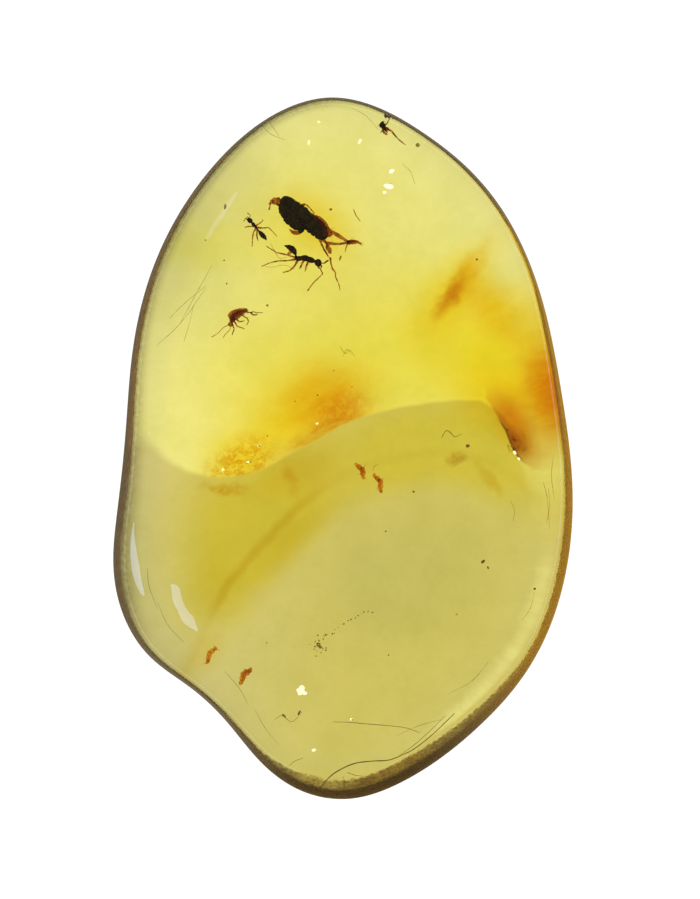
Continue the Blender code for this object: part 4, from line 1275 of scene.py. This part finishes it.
def dust(stone):
    """Grime and threads; they lie just under the polish, where the stone doesn't bend their shapes."""
    draw = np.random.default_rng(71)
    tree = BVHTree.FromObject(stone, bpy.context.evaluated_depsgraph_get())
    grime = chitin("speck_brown", (0.12, 0.08, 0.02), (0.46, 0.34, 0.12), 0.85, 5.0)
    hair = chitin("thread_olive", (0.22, 0.16, 0.06), (0.45, 0.36, 0.14), 0.92, 4.0)
    graze = chitin("scratch_grey", (0.45, 0.42, 0.30), (0.75, 0.72, 0.55), 0.92, 4.0)
    bm = bmesh.new()
    for centre, length, width, heading in SPECKS.values():
        place = over([at(*centre)], tree, 0.25)[0]
        lump(bm, tuple(place), length * 0.85, width * 0.85, heading, draw)
    set_down("specks", bm, (0, 0, 0), grime)
    for name, rows, look, sunk in (("threads", THREADS, hair, 0.12), ("scratches", SCRATCHES, graze, 0.06)):
        bm = bmesh.new()
        for points, thick in rows.values():
            spots = curved(line(*points), 4 * len(points))
            radii = thick * (0.55 + 0.45 * np.sin(np.linspace(0.25, math.pi - 0.25, len(spots))))
            tube(bm, over(spots, tree, sunk), radii, 6, 2)
        set_down(name, bm, (0, 0, 0), look)
    bm = bmesh.new()
    for spot in curved(line(*CHAIN), 24):
        x, y = spot + draw.normal(size=2) * 0.07
        size = draw.uniform(0.02, 0.055)
        lump(bm, (x, y, draw.normal() * 0.05), size * 1.3, size, draw.uniform(0, 180), draw)
    for _ in range(26):
        x, y = np.array(at(*CLOT)) + draw.normal(size=2) * (0.22, 0.30)
        place = (x, y, draw.normal() * 0.08)
        lump(bm, place, draw.uniform(0.03, 0.09), draw.uniform(0.02, 0.05), draw.uniform(0, 180), draw)
    droppings = chitin("dropping_grey_olive", (0.30, 0.28, 0.16), (0.55, 0.52, 0.32), 0.85, 5.0)
    set_down("frass_row", bm, (0, 0, FLOW_PLANE + 0.6), droppings)


def painted_glints():
    """Painted highlights: flecks that glow, where specks of trapped air would shine."""
    draw = np.random.default_rng(83)
    bm = bmesh.new()
    for centre, length, width, heading, rise in PAINTED_GLINTS.values():
        lump(bm, (*at(*centre), rise), length, width, heading, draw)
    look = Look("painted_glint_glow")
    look.set(Base_Color=(0.9, 0.88, 0.8), Roughness=0.2, Emission_Strength=1.0)
    look.set(Emission_Color=look.mix(look.noise(8.0), (0.95, 0.90, 0.62), (1.0, 0.97, 0.80)))
    set_down("painted_glint_flecks", bm, (0, 0, FLOW_PLANE), look.material)


# ---------------------------------------------------------------- floor, light and camera


MASK_FROM, MASK_TO = 0.3, 16.0  # a card laid on the table round the stone, from its outline out
SURROUND = 45.0  # radius and height of the ring of card that stands round it
TABLE_BRIGHTNESS = 1.1
KEY = ((-105, 40, 160), (-15, 40, 160), 90, 14.8)  # ends, width, watts to a square metre
WINDOW_LIGHT = (0.62, 0.88, 1.85)
WINDOWS = {  # ends, width, watts to a square metre, and where on the stone it is mirrored
    "window_side": ((-41.5, -3.5, 13.4), (-33.0, -14.6, 27.8), 8.0, 10, (-13.3, -7.2, 8.6)),
    "window_low": ((-52.0, -20.0, 127), (-34.9, -45.4, 127), 10, 9, (-10.5, -10.5, 9.1)),
    "window_high": ((-57.5, 46.5, 119), (-55.5, 57, 117), 9, 3.5, (-7.6, 15.6, 8.9)),
}
SKY, SKY_BRIGHTNESS = (1.0, 0.97, 0.93), 0.18
CAMERA_HEIGHT = 300.0
CAMERA_OFF = (7, -1)  # in the photograph's pixels, from the stone's middle
SENSOR = 36.0


def card(name, bm, shrink, left, right, foot):
    """A brown card that the stone reflects and refracts, as the room would be, and the camera doesn't see."""
    look = Look(name)
    place = look.vector("SCALE", look.place, scale=shrink)
    downness = look.toward((0.1, -1.0, 0.0), 11.0, 18.0, place=place)
    rightness = look.toward((0.98, -0.05, 0.0), 6.0, 11.5, place=place)
    colour = look.mix(rightness, look.mix(downness, left, foot), right)
    obj = new_object(name, mesh_of(name, bm), look.glowing(colour))
    obj.visible_camera = obj.visible_diffuse = obj.visible_shadow = False


def softbox(name, start, end, width, strength, aim=(0, 0, 5), colour=WHITE, mirrored=False):
    """A lamp stretched from start to end, turned to aim."""
    run, middle = Vector(end) - Vector(start), (Vector(end) + Vector(start)) / 2
    back = (middle - Vector(aim)).normalized()
    along = (run - back * run.dot(back)).normalized()
    data = bpy.data.lights.new(name, "AREA")
    data.shape = "ELLIPSE" if mirrored else "RECTANGLE"
    data.size, data.size_y = run.length * MM, width * MM
    data.energy = strength * data.size * data.size_y
    data.color = colour
    data.use_shadow = mirrored
    obj = bpy.data.objects.new(name, data)
    facing = Matrix((along, back.cross(along), back)).transposed().to_4x4()
    obj.matrix_world = Matrix.Translation(middle * MM) @ facing
    obj.visible_camera = obj.visible_transmission = False
    obj.visible_glossy = mirrored
    SCENE.collection.objects.link(obj)


def floor_and_light():
    bm = bmesh.new()
    bmesh.ops.create_grid(bm, x_segments=1, y_segments=1, size=1.5)
    bmesh.ops.translate(bm, verts=bm.verts, vec=(0, 0, -0.1 * MM))
    look = Look("light_table")
    new_object("light_table", mesh_of("light_table", bm), look.glowing(WHITE, TABLE_BRIGHTNESS))
    loop = smooth_loop(OUTLINE, 120) - MIDDLE
    out = outward(loop)
    bm = bmesh.new()
    rings = (loop + out * reach for reach in (MASK_FROM, MASK_TO))
    band(bm, *([bm.verts.new((*(spot * MM), 0.02 * MM)) for spot in ring] for ring in rings))
    card("mask", bm, 0.7, (0.32, 0.27, 0.15), (0.88, 0.46, 0.06), (0.26, 0.16, 0.05))
    bm = bmesh.new()
    bmesh.ops.create_circle(bm, segments=64, radius=SURROUND * MM)
    wall = bmesh.ops.extrude_edge_only(bm, edges=bm.edges)
    top = [v for v in wall["geom"] if isinstance(v, bmesh.types.BMVert)]
    bmesh.ops.translate(bm, verts=top, vec=(0, 0, SURROUND * MM))
    card("surround", bm, 0.36, (0.21, 0.18, 0.11), (0.64, 0.36, 0.07), (0.13, 0.085, 0.03))
    softbox("key", *KEY)
    for name, row in WINDOWS.items():
        softbox(name, *row, WINDOW_LIGHT, mirrored=True)
    world = bpy.data.worlds.new("studio")
    world.use_nodes = True
    sky = world.node_tree.nodes["Background"]
    sky.inputs["Color"].default_value = (*SKY, 1)
    sky.inputs["Strength"].default_value = SKY_BRIGHTNESS
    SCENE.world = world
    SCENE.view_settings.view_transform = "Standard"


def camera():
    data = bpy.data.cameras.new("camera")
    obj = bpy.data.objects.new("camera", data)
    SCENE.collection.objects.link(obj)
    data.sensor_width = SENSOR
    data.lens = SENSOR * (CAMERA_HEIGHT - FLOW_PLANE) / (PHOTO_HEIGHT * PX)
    obj.location = Vector((CAMERA_OFF[0] * PX, CAMERA_OFF[1] * PX, CAMERA_HEIGHT)) * MM
    SCENE.camera = obj


STONE = amber()
colour_inside()
inclusions()
dust(STONE)
painted_glints()
floor_and_light()
camera()
